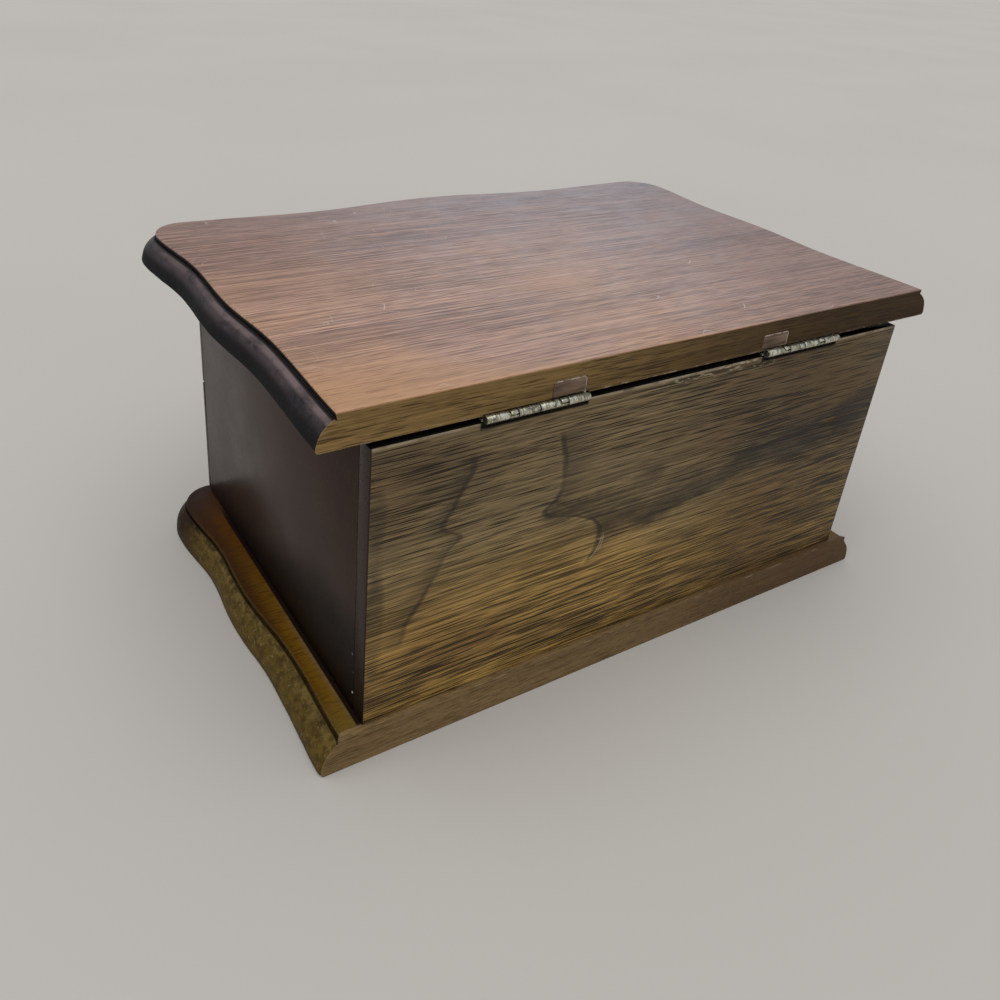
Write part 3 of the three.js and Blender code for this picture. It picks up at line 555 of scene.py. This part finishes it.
innerValues = Values(
    seed=58, drift=8, band=(4, 40, 40), streak=(9, 500, 500),
    pore=(60, 1300, 1300), poreSizes=(0.18, 0.3), crowd=(20, 20, 20),
    stain=(18, 4, 0.55, 130, 0.5, 0.8, 0, 0.3),
    light=(0.52, 0.36, 0.2), dark=(0.36, 0.23, 0.12), poreColour=(0.2, 0.12, 0.06),
)


def innerWood():
    material, place = openMaterial("innerWood")
    own = innerValues
    band, streak, pore = grainOf(place, own)
    wood = layered(
        (streak * 0.55 + band * 0.45).mix(own.dark, own.light),
        (pore * 0.5, own.poreColour),
        (place.noise(*own.stain), own.dark),
    )
    return closeMaterial(material, wood, streak * 0.1 + 0.55, streak * 0.4 - pore, 0.08)


patchValues = Values(
    fine=((60, 700, 700), 4, 0.65, 140), broken=(420, 3, 0.55, 146, 0.36, 0.5, 0, 0.85),
    face=(0.215, 0.142, 0.095), dark=(0.082, 0.052, 0.034), rim=(0.46, 0.38, 0.33),
    # masks measured in from the edges
    upperRim=(0.6, 0.25), outerRim=(0.6, 0.25), innerRim=(0.45, 0.2, 0, 0.8),
)


def patchWood(node):
    material, place = openMaterial(node + "Wood")
    x, y, z = place.parts()
    own = patchValues
    low, high = boxOf(node)
    fine = place.noise(*own.fine)
    face = fine.fit(0.38, 0.62).mix(own.dark, own.face)
    face = (x.fit(low[0] + 2, high[0] - 1) * 0.45).mix(face, own.dark)
    # painted highlight: a pale rim, broken by noise, along the top and outer edges
    rim = (high[2] - z).fit(*own.upperRim).most((x - low[0]).fit(*own.outerRim))
    face = (rim * place.noise(*own.broken)).mix(face, own.rim)
    face = (high[0] - x).fit(*own.innerRim).mix(face, own.dark)
    return closeMaterial(material, face, fine * 0.1 + 0.45, fine, 0.04, Specular_IOR_Level=0.2)


hingeValues = Values(
    blotch=(420, 5, 0.7, 150), scrape=((1500, 300, 300), 3, 0.6, 155, 0.45, 0.6),
    metal=(0.42, 0.39, 0.27), bright=(0.86, 0.85, 0.72),
    dirt=(0.05, 0.042, 0.026), black=(0.008, 0.006, 0.004),
    slitShares=(0.295, 0.5, 0.775), slitReach=0.22,
)


def wornBrass():
    material, place = openMaterial("wornBrass")
    x, y, z = place.parts()
    own = hingeValues
    blotch = place.noise(*own.blotch)
    scrape = place.noise(*own.scrape)
    metal = (scrape * 0.75).mix(own.metal, own.bright)
    grime = blotch.fit(0.5, 0.6)
    metal = (grime * 0.75).mix(metal, own.dirt)
    # dirt and painted shade in the slits between the knuckles, at their ends and under them
    low, high = boxOf("hinge_pin_left")
    onBarrel = y.fit(low[1] - 0.9, low[1] - 0.6)
    packedDirtAndShade = z.fit(low[2] + 0.1, low[2] - 0.5) * 0.8
    for side in sides:
        low, high = boxOf("hinge_pin_" + side)
        packedDirtAndShade = packedDirtAndShade.most(x.fit(high[0] - 0.25, high[0] - 0.1) * x.fit(high[0] + 2, high[0] + 1))
        for share in own.slitShares:
            packedDirtAndShade = packedDirtAndShade.most(x.near(high[0] - (high[0] - low[0]) * share, own.slitReach, 0.15))
    packedDirtAndShade = packedDirtAndShade * onBarrel
    metal = (packedDirtAndShade * 0.92).mix(metal, own.black)
    roughness = grime * 0.25 + scrape * 0.08 + 0.3
    shine = (1 - grime * 0.4) * (1 - packedDirtAndShade * 0.8)
    return closeMaterial(material, metal, roughness, scrape * 0.5 + blotch, 0.06, metallic=shine)


knobFinish = Values(
    blotch=(160, 4, 0.6, 160),
    dark=(0.62, 0.44, 0.18), light=(0.75, 0.56, 0.27), tarnish=(0.2, 0.13, 0.06),
)


def knobBrass():
    material, place = openMaterial("knobBrass")
    blotch = place.noise(*knobFinish.blotch)
    metal = blotch.fit(0.35, 0.65).mix(knobFinish.dark, knobFinish.light)
    tarnish = blotch.fit(0.58, 0.72)
    metal = (tarnish * 0.5).mix(metal, knobFinish.tarnish)
    return closeMaterial(material, metal, tarnish * 0.2 + 0.22, blotch, 0.03, metallic=1 - tarnish * 0.2)


feltValues = Values(
    fibre=(1500, 4, 0.7, 170), patches=(60, 3, 0.6, 175, 0.4, 0.7, 0, 0.3),
    depth=0.35, rough=0.88, sheen=0.12, sheenRough=0.5,
    dark=(0.1, 0.008, 0.016), light=(0.26, 0.03, 0.045), worn=(0.12, 0.012, 0.02),
)
velvetValues = Values(
    fibre=(2600, 2, 0.6, 180), patches=((70, 30, 70), 3, 0.6, 185, 0.45, 0.65, 0, 0.45),
    depth=0.2, rough=0.7, sheen=0.35, sheenRough=0.35,
    dark=(0.1, 0.006, 0.02), light=(0.24, 0.02, 0.05), worn=(0.36, 0.05, 0.09),
)


def softCloth(name, own):
    # felt or velvet with worn patches
    material, place = openMaterial(name)
    fibre = place.noise(*own.fibre)
    cloth = fibre.fit(0.3, 0.7).mix(own.dark, own.light)
    cloth = place.noise(*own.patches).mix(cloth, own.worn)
    return closeMaterial(material, cloth, fibre * 0.1 + own.rough, fibre, own.depth,
                         Sheen_Weight=own.sheen, Sheen_Roughness=own.sheenRough)


glassValues = Values(
    spots=(260, 4, 0.6, 190, 0.66, 0.74), age=(25, 4, 0.6, 195, 0.5, 0.8, 0, 0.03),
    silver=(0.86, 0.88, 0.88), spot=(0.25, 0.22, 0.18),
)


def lookingGlass():
    material, place = openMaterial("lookingGlass")
    spot = place.noise(*glassValues.spots)
    age = place.noise(*glassValues.age)
    glass = (spot * 0.7).mix(glassValues.silver, glassValues.spot)
    return closeMaterial(material, glass, spot * 0.3 + age + 0.02, metallic=1 - spot * 0.6)


woods = {
    "lid_wood": lidWood(), "base_wood": baseWood(), "back_wood": backWood(), "side_wood": sideWood(),
    "inner_wood": innerWood(), "felt": softCloth("feltCloth", feltValues),
    "cushion_fabric": softCloth("velvetCloth", velvetValues),
    "worn_brass": wornBrass(), "knob_brass": knobBrass(), "looking_glass": lookingGlass(),
}
print("chest: finishes made")


def paint(piece, material):
    piece.data.materials.clear()
    piece.data.materials.append(material)


def finishOf(node):
    slot = slotOf[node]
    return patchWood(node) if slot == "patch_wood" else woods[slot]


for node, piece in nodes.items():
    paint(piece, finishOf(node))
print("chest: nodes painted")


def focus(piece):
    bpy.ops.object.select_all(action="DESELECT")
    piece.select_set(True)
    bpy.context.view_layer.objects.active = piece


def openMesh(piece):
    focus(piece)
    bpy.ops.object.mode_set(mode="EDIT")
    bpy.ops.mesh.select_mode(type="VERT")
    bpy.ops.mesh.select_all(action="SELECT")


def closeMesh():
    bpy.ops.object.mode_set(mode="OBJECT")


def pick(piece, kind, test):
    # in edit mode, selects only the faces, edges or corners that pass the test
    bpy.ops.mesh.select_mode(type=kind)
    bpy.ops.mesh.select_all(action="DESELECT")
    shape = bmesh.from_edit_mesh(piece.data)
    for part in {"FACE": shape.faces, "EDGE": shape.edges, "VERT": shape.verts}[kind]:
        if test(part):
            part.select_set(True)
    bmesh.update_edit_mesh(piece.data)


def modify(piece, kind, **settings):
    focus(piece)
    modifier = piece.modifiers.new(kind.lower(), kind)
    for name, value in settings.items():
        setattr(modifier, name, value)
    bpy.ops.object.modifier_apply(modifier=modifier.name)


def settle(piece, angle=40):
    # place, turn and scale go into the mesh, and the facets are smoothed
    focus(piece)
    bpy.ops.object.transform_apply(location=True, rotation=True, scale=True)
    bpy.ops.object.shade_smooth_by_angle(angle=radians(angle))


def standFor(piece, node):
    paint(piece, finishOf(node))
    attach(piece, bodyOf[node])
    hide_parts(node)


def addFitting(piece, body, slot):
    # a piece that stands for no node
    paint(piece, woods[slot])
    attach(piece, body)


def camel(words):
    first, *rest = words.split("_")
    return first + "".join(word.capitalize() for word in rest)


def copyNode(node):
    mesh = nodes[node].data.copy()
    piece = bpy.data.objects.new(camel(node), mesh)
    mesh.name = piece.name
    bpy.context.scene.collection.objects.link(piece)
    openMesh(piece)
    bpy.ops.mesh.remove_doubles(threshold=0.002 * mm)
    bpy.ops.mesh.dissolve_limited(angle_limit=radians(0.5))
    closeMesh()
    return piece


# Pieces whose sharp arrises are eased: width of the easing in millimetres, its steps, the nodes
easings = [
    (0.45, 2, "side_panel_left side_panel_right"),
    (0.4, 2, "back_panel"),
    (0.3, 1, "compartment_floor"),
    (0.2, 1, "upper_front drawer_front"),
    (0.3, 1, "compartment_lining"),
    (0.6, 3, "lining_front lining_rear lining_left lining_right"),
    (1.2, 4, "divider_long divider_rear divider_front_left divider_front_right"),
    (0.8, 3, "drawer_side_left drawer_side_right drawer_back"),
    (0.2, 1, "drawer_bottom"),
    (0.5, 3, "drawer_lining"),
    (0.2, 2, "mirror_bead_front mirror_bead_right mirror_bead_rear mirror_bead_left"),
    (0.1, 2, "hinge_case_leaf_left hinge_case_leaf_right hinge_lid_leaf_left hinge_lid_leaf_right"),
    (0.25, 3, "hinge_pin_left hinge_pin_right"),
    (0.15, 2, "hinge_patch_left hinge_patch_right"),
]


def easeBoards():
    for width, steps, members in easings:
        for node in members.split():
            piece = copyNode(node)
            modify(piece, "BEVEL", width=width * mm, segments=steps, limit_method="ANGLE",
                   angle_limit=radians(40))
            settle(piece)
            standFor(piece, node)


# Outline of the lid and base, in millimetres: the shared wave, and how far each edge stands out along it
waveValues = Values(
    halfWidth=121, depth=160, rear=93.25, behind=7,
    cornerAcross=13.5, cornerAlong=15.4, narrowFrom=-8, narrowTo=66,
    waistShare=0.3, hipShare=0.55, neckShare=0.745, hollowShare=0.54,
    sideSteps=20, cornerSteps=14, frontSteps=26,
)
sectionValues = Values(
    quirkDepth=2.8, undercut=0.5, shareDown=0.75, shareIn=0.6, thumbStart=0.5, thumbDrop=2.2, swell=1.3,
    footRoll=1.2, footSetback=0.8, thumbSteps=16, footSteps=4, arrisSteps=3, wearSize=12, wearStop=1,
)
lidEdge = Values(
    rear=10.8, waist=9.4, hip=12.1, neck=11.1, ear=14.5, horn=18.7, hollow=16.5,
    bow=22.3, reach=6.2, bottom=126.6, thick=12, cut=93.25,
    rearArris=0.35, wear=0.25, arris=0.6, narrow=0,
)
baseEdge = Values(
    rear=11.3, waist=10, hip=12, neck=10.6, ear=14.1, horn=5.3, hollow=5.7,
    bow=12, reach=5.2, bottom=0, thick=15, cut=95.25,
    rearArris=0.7, wear=0.45, arris=1.1, narrow=2.5,
)


def arc(steps, first=1, whole=pi / 2):
    return [whole * step / steps for step in range(first, steps + 1)]


def easedRun(stations, steps):
    points = []
    for (alongA, outA), (alongB, outB) in zip(stations, stations[1:]):
        for step in range(steps):
            share = step / steps
            ease = (1 - cos(pi * share)) / 2
            points.append((alongA + (alongB - alongA) * share, outA + (outB - outA) * ease))
    return points + [stations[-1]]


def fieldOutline(edge):
    wave = waveValues
    half, rear = wave.halfWidth, wave.rear
    earX, hornDepth = half + edge.ear, wave.depth + edge.horn
    earDepth, cornerX = hornDepth - wave.cornerAlong, earX - wave.cornerAcross
    side = easedRun([
        (0, half + edge.rear),
        (earDepth * wave.waistShare, half + edge.waist),
        (earDepth * wave.hipShare, half + edge.hip),
        (earDepth * wave.neckShare, half + edge.neck),
        (earDepth, earX),
    ], wave.sideSteps)
    corner = [(cornerX + wave.cornerAcross * cos(turn), earDepth + wave.cornerAlong * sin(turn))
              for turn in arc(wave.cornerSteps)[:-1]]
    front = easedRun([
        (cornerX, hornDepth),
        (cornerX * wave.hollowShare, wave.depth + edge.hollow),
        (0, wave.depth + edge.bow),
    ], wave.frontSteps)
    right = [(half + edge.rear, rear + wave.behind)]
    right += [(x, rear - depth) for depth, x in side]
    right += [(x, rear - depth) for x, depth in corner + front]
    left = [(-x, y) for x, y in right[:-1]]
    return left + right[::-1]


def offsetOutline(outline, distance, narrow):
    # narrow is how far the line is drawn in at the rear of the ends
    start, span = waveValues.narrowFrom, waveValues.narrowTo - waveValues.narrowFrom
    moved = []
    for index, (x, y) in enumerate(outline):
        before, after = outline[index - 1], outline[(index + 1) % len(outline)]
        along = Vector((after[0] - before[0], after[1] - before[1])).normalized()
        out = distance - narrow * min(max((y - start) / span, 0), 1)
        moved.append((x + along.y * out, y - along.x * out))
    return moved


def mouldingSection(edge):
    # pairs of how far out from the field's edge and how far down from its top
    cut, thick, reach = sectionValues, edge.thick, edge.reach
    section = [(edge.arris * (sin(turn) - 1), edge.arris * (1 - cos(turn)))
               for turn in arc(cut.arrisSteps, 0)]
    section.append((-cut.undercut * cut.shareIn, cut.quirkDepth * cut.shareDown))
    section.append((-cut.undercut, cut.quirkDepth))
    start = Vector((cut.thumbStart, cut.thumbDrop))
    chord = Vector((reach, thick - cut.footRoll)) - start
    outwards = Vector((chord.y, -chord.x)).normalized()
    for step in range(cut.thumbSteps + 1):
        share = step / cut.thumbSteps
        section.append(tuple(start + chord * share + outwards * cut.swell * sin(pi * share)))
    for turn in arc(cut.footSteps):
        out = reach - cut.footSetback * (1 - cos(turn))
        section.append((out, thick - cut.footRoll * (1 - sin(turn))))
    return section


def mouldedBoard(name, edge):
    # a flat disc takes the outline, then each step of the section is one extrusion downwards
    outline = fieldOutline(edge)
    section = mouldingSection(edge)
    top, thumbStart = edge.bottom + edge.thick, sectionValues.thumbStart
    bpy.ops.mesh.primitive_circle_add(vertices=len(outline), fill_type="NGON")
    board = bpy.context.object
    board.name = board.data.name = name
    openMesh(board)
    shape = bmesh.from_edit_mesh(board.data)
    turn = shape.verts.layers.int.new("turn")
    for index, corner in enumerate(shape.verts):
        corner[turn] = index
    bmesh.update_edit_mesh(board.data)
    for step, (outwards, down) in enumerate(section):
        if step:
            bpy.ops.mesh.extrude_region()
        thumbShare = min(max((outwards - thumbStart) / (edge.reach - thumbStart), 0), 1)
        ring = offsetOutline(outline, outwards, edge.narrow * (1 - thumbShare))
        shape = bmesh.from_edit_mesh(board.data)
        turn = shape.verts.layers.int["turn"]
        for corner in shape.verts:
            if corner.select:
                corner.co = Vector((*ring[corner[turn]], top - down)) * mm
        bmesh.update_edit_mesh(board.data)
    bpy.ops.mesh.select_all(action="SELECT")
    bpy.ops.mesh.normals_make_consistent(inside=False)
    bpy.ops.mesh.bisect(plane_co=(0, edge.cut * mm, 0), plane_no=(0, 1, 0), use_fill=True,
                        clear_outer=True)
    closeMesh()
    board.data.attributes.remove(board.data.attributes["turn"])
    easeRearEdge(board, edge)
    wearMoulding(board, edge)
    return board


def easeRearEdge(board, edge):
    top, rear, near = (edge.bottom + edge.thick) * mm, edge.cut * mm, 0.01 * mm
    openMesh(board)
    pick(board, "EDGE", lambda line: all(
        abs(corner.co.y - rear) < near and abs(corner.co.z - top) < near for corner in line.verts))
    bpy.ops.mesh.bevel(offset=edge.rearArris * mm, segments=3, affect="EDGES")
    closeMesh()


def wearMoulding(board, edge):
    # the thumb is rubbed a little hollow here and there, never standing out
    top = (edge.bottom + edge.thick - sectionValues.quirkDepth) * mm
    low = (edge.bottom + 0.01) * mm
    rear = edge.cut * mm - sectionValues.wearStop * mm
    group = board.vertex_groups.new(name="thumb")
    rubbed = [v.index for v in board.data.vertices if low < v.co.z < top and v.co.y < rear]
    group.add(rubbed, 1.0, "REPLACE")
    clouds = bpy.data.textures.new(board.name + "Wear", "CLOUDS")
    clouds.noise_scale = sectionValues.wearSize * mm
    modify(board, "DISPLACE", texture=clouds, strength=edge.wear * mm, mid_level=1.0,
           vertex_group="thumb")


def cutBlock(board, low, high, corner=0.0):
    # takes a square pocket out of a board
    middle = [(a + b) / 2 * mm for a, b in zip(low, high)]
    bpy.ops.mesh.primitive_cube_add(size=1, location=middle)
    block = bpy.context.object
    block.scale = [(b - a) * mm for a, b in zip(low, high)]
    focus(block)
    bpy.ops.object.transform_apply(location=True, rotation=True, scale=True)
    if corner:
        openMesh(block)
        pick(block, "EDGE", lambda line: abs(line.verts[0].co.y - line.verts[1].co.y) > 0.1 * mm
             and line.verts[0].co.z > middle[2])
        bpy.ops.mesh.bevel(offset=corner * mm, segments=5, affect="EDGES")
        closeMesh()
    modify(board, "BOOLEAN", object=block, operation="DIFFERENCE", solver="EXACT")
    bpy.data.objects.remove(block)


pocketValues = Values(gap=0.3, past=5.0, patchGap=0.15, patchCorner=1.2)


def makeLidBoard():
    board = mouldedBoard("lidBoard", lidEdge)
    gap, past = pocketValues.gap, pocketValues.past
    for side in sides:
        low, high = boxOf("hinge_lid_leaf_" + side)
        cutBlock(board, (low[0] - gap, low[1] - gap, lidEdge.bottom - past),
                 (high[0] + gap, lidEdge.cut + past, high[2] + gap))
        low, high = boxOf("hinge_patch_" + side)
        small = pocketValues.patchGap
        cutBlock(board, (low[0] - small, low[1] - small, low[2] - small),
                 (high[0] + small, high[1] + past, high[2] + small), pocketValues.patchCorner)
    settle(board, 30)
    standFor(board, "lid_board")


def makeBaseBoard():
    board = mouldedBoard("baseBoard", baseEdge)
    settle(board, 30)
    standFor(board, "base_board")


def turned(name, start, steps, count):
    # shaped about Z as on a lathe, from pairs of radius and height
    bpy.ops.mesh.primitive_circle_add(vertices=count, radius=start[0] * mm, fill_type="NGON",
                                      location=(0, 0, start[1] * mm))
    piece = bpy.context.object
    piece.name = piece.data.name = name
    focus(piece)
    bpy.ops.object.transform_apply(location=True, rotation=True, scale=True)
    openMesh(piece)
    radiusNow, levelNow = start
    for radius, level in steps:
        bpy.ops.mesh.extrude_region_move(TRANSFORM_OT_translate={"value": (0, 0, (level - levelNow) * mm)})
        growth = radius / radiusNow
        bpy.ops.transform.resize(value=(growth, growth, 1), center_override=(0, 0, level * mm))
        radiusNow, levelNow = radius, level
    bpy.ops.mesh.select_all(action="SELECT")
    bpy.ops.mesh.normals_make_consistent(inside=False)
    closeMesh()
    return piece


knobValues = Values(
    radius=6.5, stand=14, shank=1.9, back=7, flange=4.55, flangeStand=1.26,
    flangeRoll=0.3, neck=2.8, neckFrom=3.1, headMiddle=9.3, headFrom=-60, headTo=89,
    headSteps=16, hollowSteps=6, sides=64,
)


def knobSteps():
    # radius and height of each step, from the shank over the flange and the hollow neck to the head
    knob = knobValues
    roll, stand = knob.flangeRoll, knob.flangeStand
    inner = knob.flange - roll
    steps = [(knob.shank, 0), (inner, 0), (knob.flange, roll), (knob.flange, stand - roll), (inner, stand)]
    for turn in arc(knob.hollowSteps):
        radius = knob.neck + (inner - knob.neck) * (1 - sin(turn))
        steps.append((radius, stand + (knob.neckFrom - stand) * (1 - cos(turn)) + 0.01))
    headRise = knob.stand - knob.headMiddle
    for step in range(knob.headSteps + 1):
        share = step / knob.headSteps
        turn = radians(knob.headFrom + (knob.headTo - knob.headFrom) * share)
        steps.append((knob.radius * cos(turn), knob.headMiddle + headRise * sin(turn)))
    return steps


def placeCopy(piece, name, place, turn):
    copy = piece.copy()
    copy.data = piece.data.copy()
    copy.name = copy.data.name = name
    bpy.context.scene.collection.objects.link(copy)
    copy.location = Vector(place) * mm
    copy.rotation_euler = turn
    settle(copy, 30)
    return copy


def makeKnobs():
    start = (knobValues.shank, -knobValues.back)
    pattern = turned("knobPattern", start, knobSteps(), knobValues.sides)
    for side in sides:
        low, high = boxOf("drawer_knob_" + side)
        place = ((low[0] + high[0]) / 2, low[1] + knobValues.stand, (low[2] + high[2]) / 2)
        knob = placeCopy(pattern, "drawerKnob" + side.capitalize(), place, (pi / 2, 0, 0))
        standFor(knob, "drawer_knob_" + side)
    bpy.data.objects.remove(pattern)


screwValues = Values(
    hinge=Values(head=1.5, rise=0.32, shank=0.8, length=3, slot=0.36, slotDepth=0.2),
    knob=Values(head=3, rise=1.1, shank=1.7, length=3, slot=0.7, slotDepth=0.6),
    sides=32, domeSteps=5, domeTurn=85, lip=0.02, spacing=24, bed=0.8, inset=2.6,
    turns=[0.4, 1.3, 2.2, 0.9, 1.9, 0.1, 2.7, 1.1],
)


def slottedScrew(name, size):
    lip = screwValues.lip
    steps = [(size.shank, 0.0), (size.head, lip)]
    for turn in arc(screwValues.domeSteps, whole=radians(screwValues.domeTurn)):
        steps.append((size.head * cos(turn), lip + (size.rise - lip) * sin(turn)))
    screw = turned(name, (size.shank, -size.length), steps, screwValues.sides)
    cutBlock(screw, (-size.head * 1.2, -size.slot / 2, size.rise - size.slotDepth),
             (size.head * 1.2, size.slot / 2, size.rise * 2))
    return screw


def makeScrews():
    pattern = slottedScrew("hingeScrewPattern", screwValues.hinge)
    turns = list(screwValues.turns)
    for leaf, body, upright in (("case", "carcase", 1), ("lid", "lid", -1)):
        for side in sides:
            low, high = boxOf(f"hinge_{leaf}_leaf_{side}")
            middle = (low[0] + high[0]) / 2
            level = low[2] + screwValues.bed if upright > 0 else high[2] - screwValues.bed
            for number, along in enumerate((-1, 1)):
                place = (middle + along * screwValues.spacing / 2, low[1] + screwValues.inset, level)
                name = f"hingeScrew{leaf.capitalize()}{side.capitalize()}{number + 1}"
                turn = (0 if upright > 0 else pi, 0, turns.pop())
                addFitting(placeCopy(pattern, name, place, turn), body, "worn_brass")
    bpy.data.objects.remove(pattern)
    pattern = slottedScrew("knobScrewPattern", screwValues.knob)
    for side in sides:
        low, high = boxOf("drawer_knob_" + side)
        place = ((low[0] + high[0]) / 2, high[1] + screwValues.lip, (low[2] + high[2]) / 2)
        screw = placeCopy(pattern, "knobScrew" + side.capitalize(), place, (-pi / 2, 0.5, 0))
        addFitting(screw, "drawer", "knob_brass")
    bpy.data.objects.remove(pattern)


mirrorValues = Values(band=9.0, fall=0.9)


def makeMirror():
    glass = copyNode("mirror")
    openMesh(glass)
    pick(glass, "FACE", lambda face: face.normal.z < -0.9)
    bpy.ops.mesh.inset(thickness=mirrorValues.band * mm, depth=0)
    low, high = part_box("mirror")
    pick(glass, "VERT", lambda corner: corner.co.z < low.z + 0.1 * mm and (
        abs(corner.co.x) > high.x - mm or corner.co.y > high.y - mm or corner.co.y < low.y + mm))
    bpy.ops.transform.translate(value=(0, 0, mirrorValues.fall * mm))
    closeMesh()
    settle(glass, 1)
    standFor(glass, "mirror")


cushionValues = Values(
    voxel=1.8, shrink=(0.95, 0.93, 0.93), pressure=4, frames=20, cap=2.2, gap=0.4,
)


def makeCushion():
    # sewn rolls puffed out by the cloth solver, kept inside the bay between the dividers
    node = "ring_cushion"
    low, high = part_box(node)
    middle = Vector(((low.x + high.x) / 2, (low.y + high.y) / 2, low.z))
    cushion = copyNode(node)
    modify(cushion, "REMESH", mode="VOXEL", voxel_size=cushionValues.voxel * mm)
    for corner in cushion.data.vertices:
        away = corner.co - middle
        corner.co = middle + Vector(a * share for a, share in zip(away, cushionValues.shrink))
    start = [corner.co.copy() for corner in cushion.data.vertices]
    focus(cushion)
    cloth = cushion.modifiers.new("cloth", "CLOTH")
    cloth.settings.use_pressure = True
    cloth.settings.uniform_pressure_force = cushionValues.pressure
    cloth.settings.effector_weights.gravity = 0
    for frameNumber in range(1, cushionValues.frames + 1):
        bpy.context.scene.frame_set(frameNumber)
    bpy.ops.object.modifier_apply(modifier=cloth.name)
    bpy.context.scene.frame_set(1)
    gap, cap = cushionValues.gap * mm, cushionValues.cap * mm
    for corner, before in zip(cushion.data.vertices, start):
        move = corner.co - before
        if move.length > cap:
            corner.co = before + move.normalized() * cap
        corner.co.x = min(max(corner.co.x, low.x + gap), high.x - gap)
        corner.co.y = min(max(corner.co.y, low.y + gap), high.y - gap)
        corner.co.z = min(max(corner.co.z, low.z), high.z)
    modify(cushion, "SUBSURF", levels=1, render_levels=1)
    settle(cushion, 180)
    standFor(cushion, node)


makeLidBoard()
makeBaseBoard()
print("chest: moulded boards made")
easeBoards()
print("chest: boards, slats and hinges eased")
makeKnobs()
makeScrews()
print("chest: knobs and screws made")
makeMirror()
makeCushion()
print("chest: mirror and cushion made")


studio = Values(
    floor=(0.51, 0.485, 0.45), floorRadius=40, floorTone=(2, 2, 0.55, 200),
    wall=(0.5, 0.53, 0.58), skyLight=(0.56, 0.57, 0.58),
    sunTurn=(-8, 12, 0), sunSpread=75, sunPower=1.35,
    sheenPlace=(-1.9, -2.55, 1.45), sheenSize=2.2, sheenPower=16.5, sheenColour=(0.45, 0.74, 1),
)


def makeFloor():
    bpy.ops.mesh.primitive_circle_add(vertices=96, radius=studio.floorRadius, fill_type="NGON")
    floor = bpy.context.object
    floor.name = "floor"
    material, place = openMaterial("floorPaint")
    tone = place.noise(*studio.floorTone)
    colour = tone.fit(0.3, 0.7).mix(studio.floor, tuple(c * 1.03 for c in studio.floor))
    paint(floor, closeMaterial(material, colour, tone * 0.05 + 0.9, Specular_IOR_Level=0.0))


def makeWorld():
    world = bpy.data.worlds.new("studio")
    bpy.context.scene.world = world
    world.use_nodes = True
    tree = world.node_tree
    path = Wire(tree, tree.nodes.new("ShaderNodeLightPath").outputs["Is Camera Ray"])
    seen = path.node("ShaderNodeLightPath", out="Is Glossy Ray").most(path)
    seen = seen.most(path.node("ShaderNodeLightPath", out="Is Transmission Ray"))
    colour = seen.mix(studio.skyLight, studio.wall)
    tree.links.new(colour.socket, tree.nodes["Background"].inputs["Color"])


def makeLamps():
    bpy.ops.object.light_add(type="SUN", location=(0, 0, 2))
    sun = bpy.context.object
    sun.name = "softSun"
    sun.data.energy = studio.sunPower
    sun.data.angle = radians(studio.sunSpread)
    sun.rotation_euler = [radians(turn) for turn in studio.sunTurn]
    bpy.ops.object.light_add(type="AREA", location=studio.sheenPlace)
    sheen = bpy.context.object
    sheen.name = "sheenLamp"
    sheen.data.shape = "DISK"
    sheen.data.size = studio.sheenSize
    sheen.data.energy = studio.sheenPower
    sheen.data.color = studio.sheenColour
    sheen.visible_camera = False
    sheen.visible_diffuse = False
    sheen.rotation_euler = (-Vector(studio.sheenPlace)).to_track_quat("-Z", "Y").to_euler()


cameraValues = Values(
    place=(0.2258, 0.2952, 0.2603), azimuth=146.41, elevation=27.53, roll=4.68,
    lens=33.21, shiftX=0.0396, shiftY=-0.0995,
)


def makeCamera():
    azimuth, elevation, roll = (radians(cameraValues[k]) for k in ("azimuth", "elevation", "roll"))
    back = Vector((sin(azimuth) * cos(elevation), -cos(azimuth) * cos(elevation), sin(elevation)))
    right = (-back).cross(Vector((0, 0, 1))).normalized()
    down = (-back).cross(right)
    across = right * cos(roll) - down * sin(roll)
    upright = -(right * sin(roll) + down * cos(roll))
    bpy.ops.object.camera_add()
    camera = bpy.context.object
    camera.data.lens = cameraValues.lens
    camera.data.shift_x = cameraValues.shiftX
    camera.data.shift_y = cameraValues.shiftY
    camera.data.clip_start = 0.01
    turn = Matrix((across, upright, back)).transposed().to_4x4()
    camera.matrix_world = Matrix.Translation(cameraValues.place) @ turn
    bpy.context.scene.camera = camera


makeFloor()
makeWorld()
makeLamps()
makeCamera()
bpy.context.scene.view_settings.view_transform = "Standard"
print("chest: studio ready")
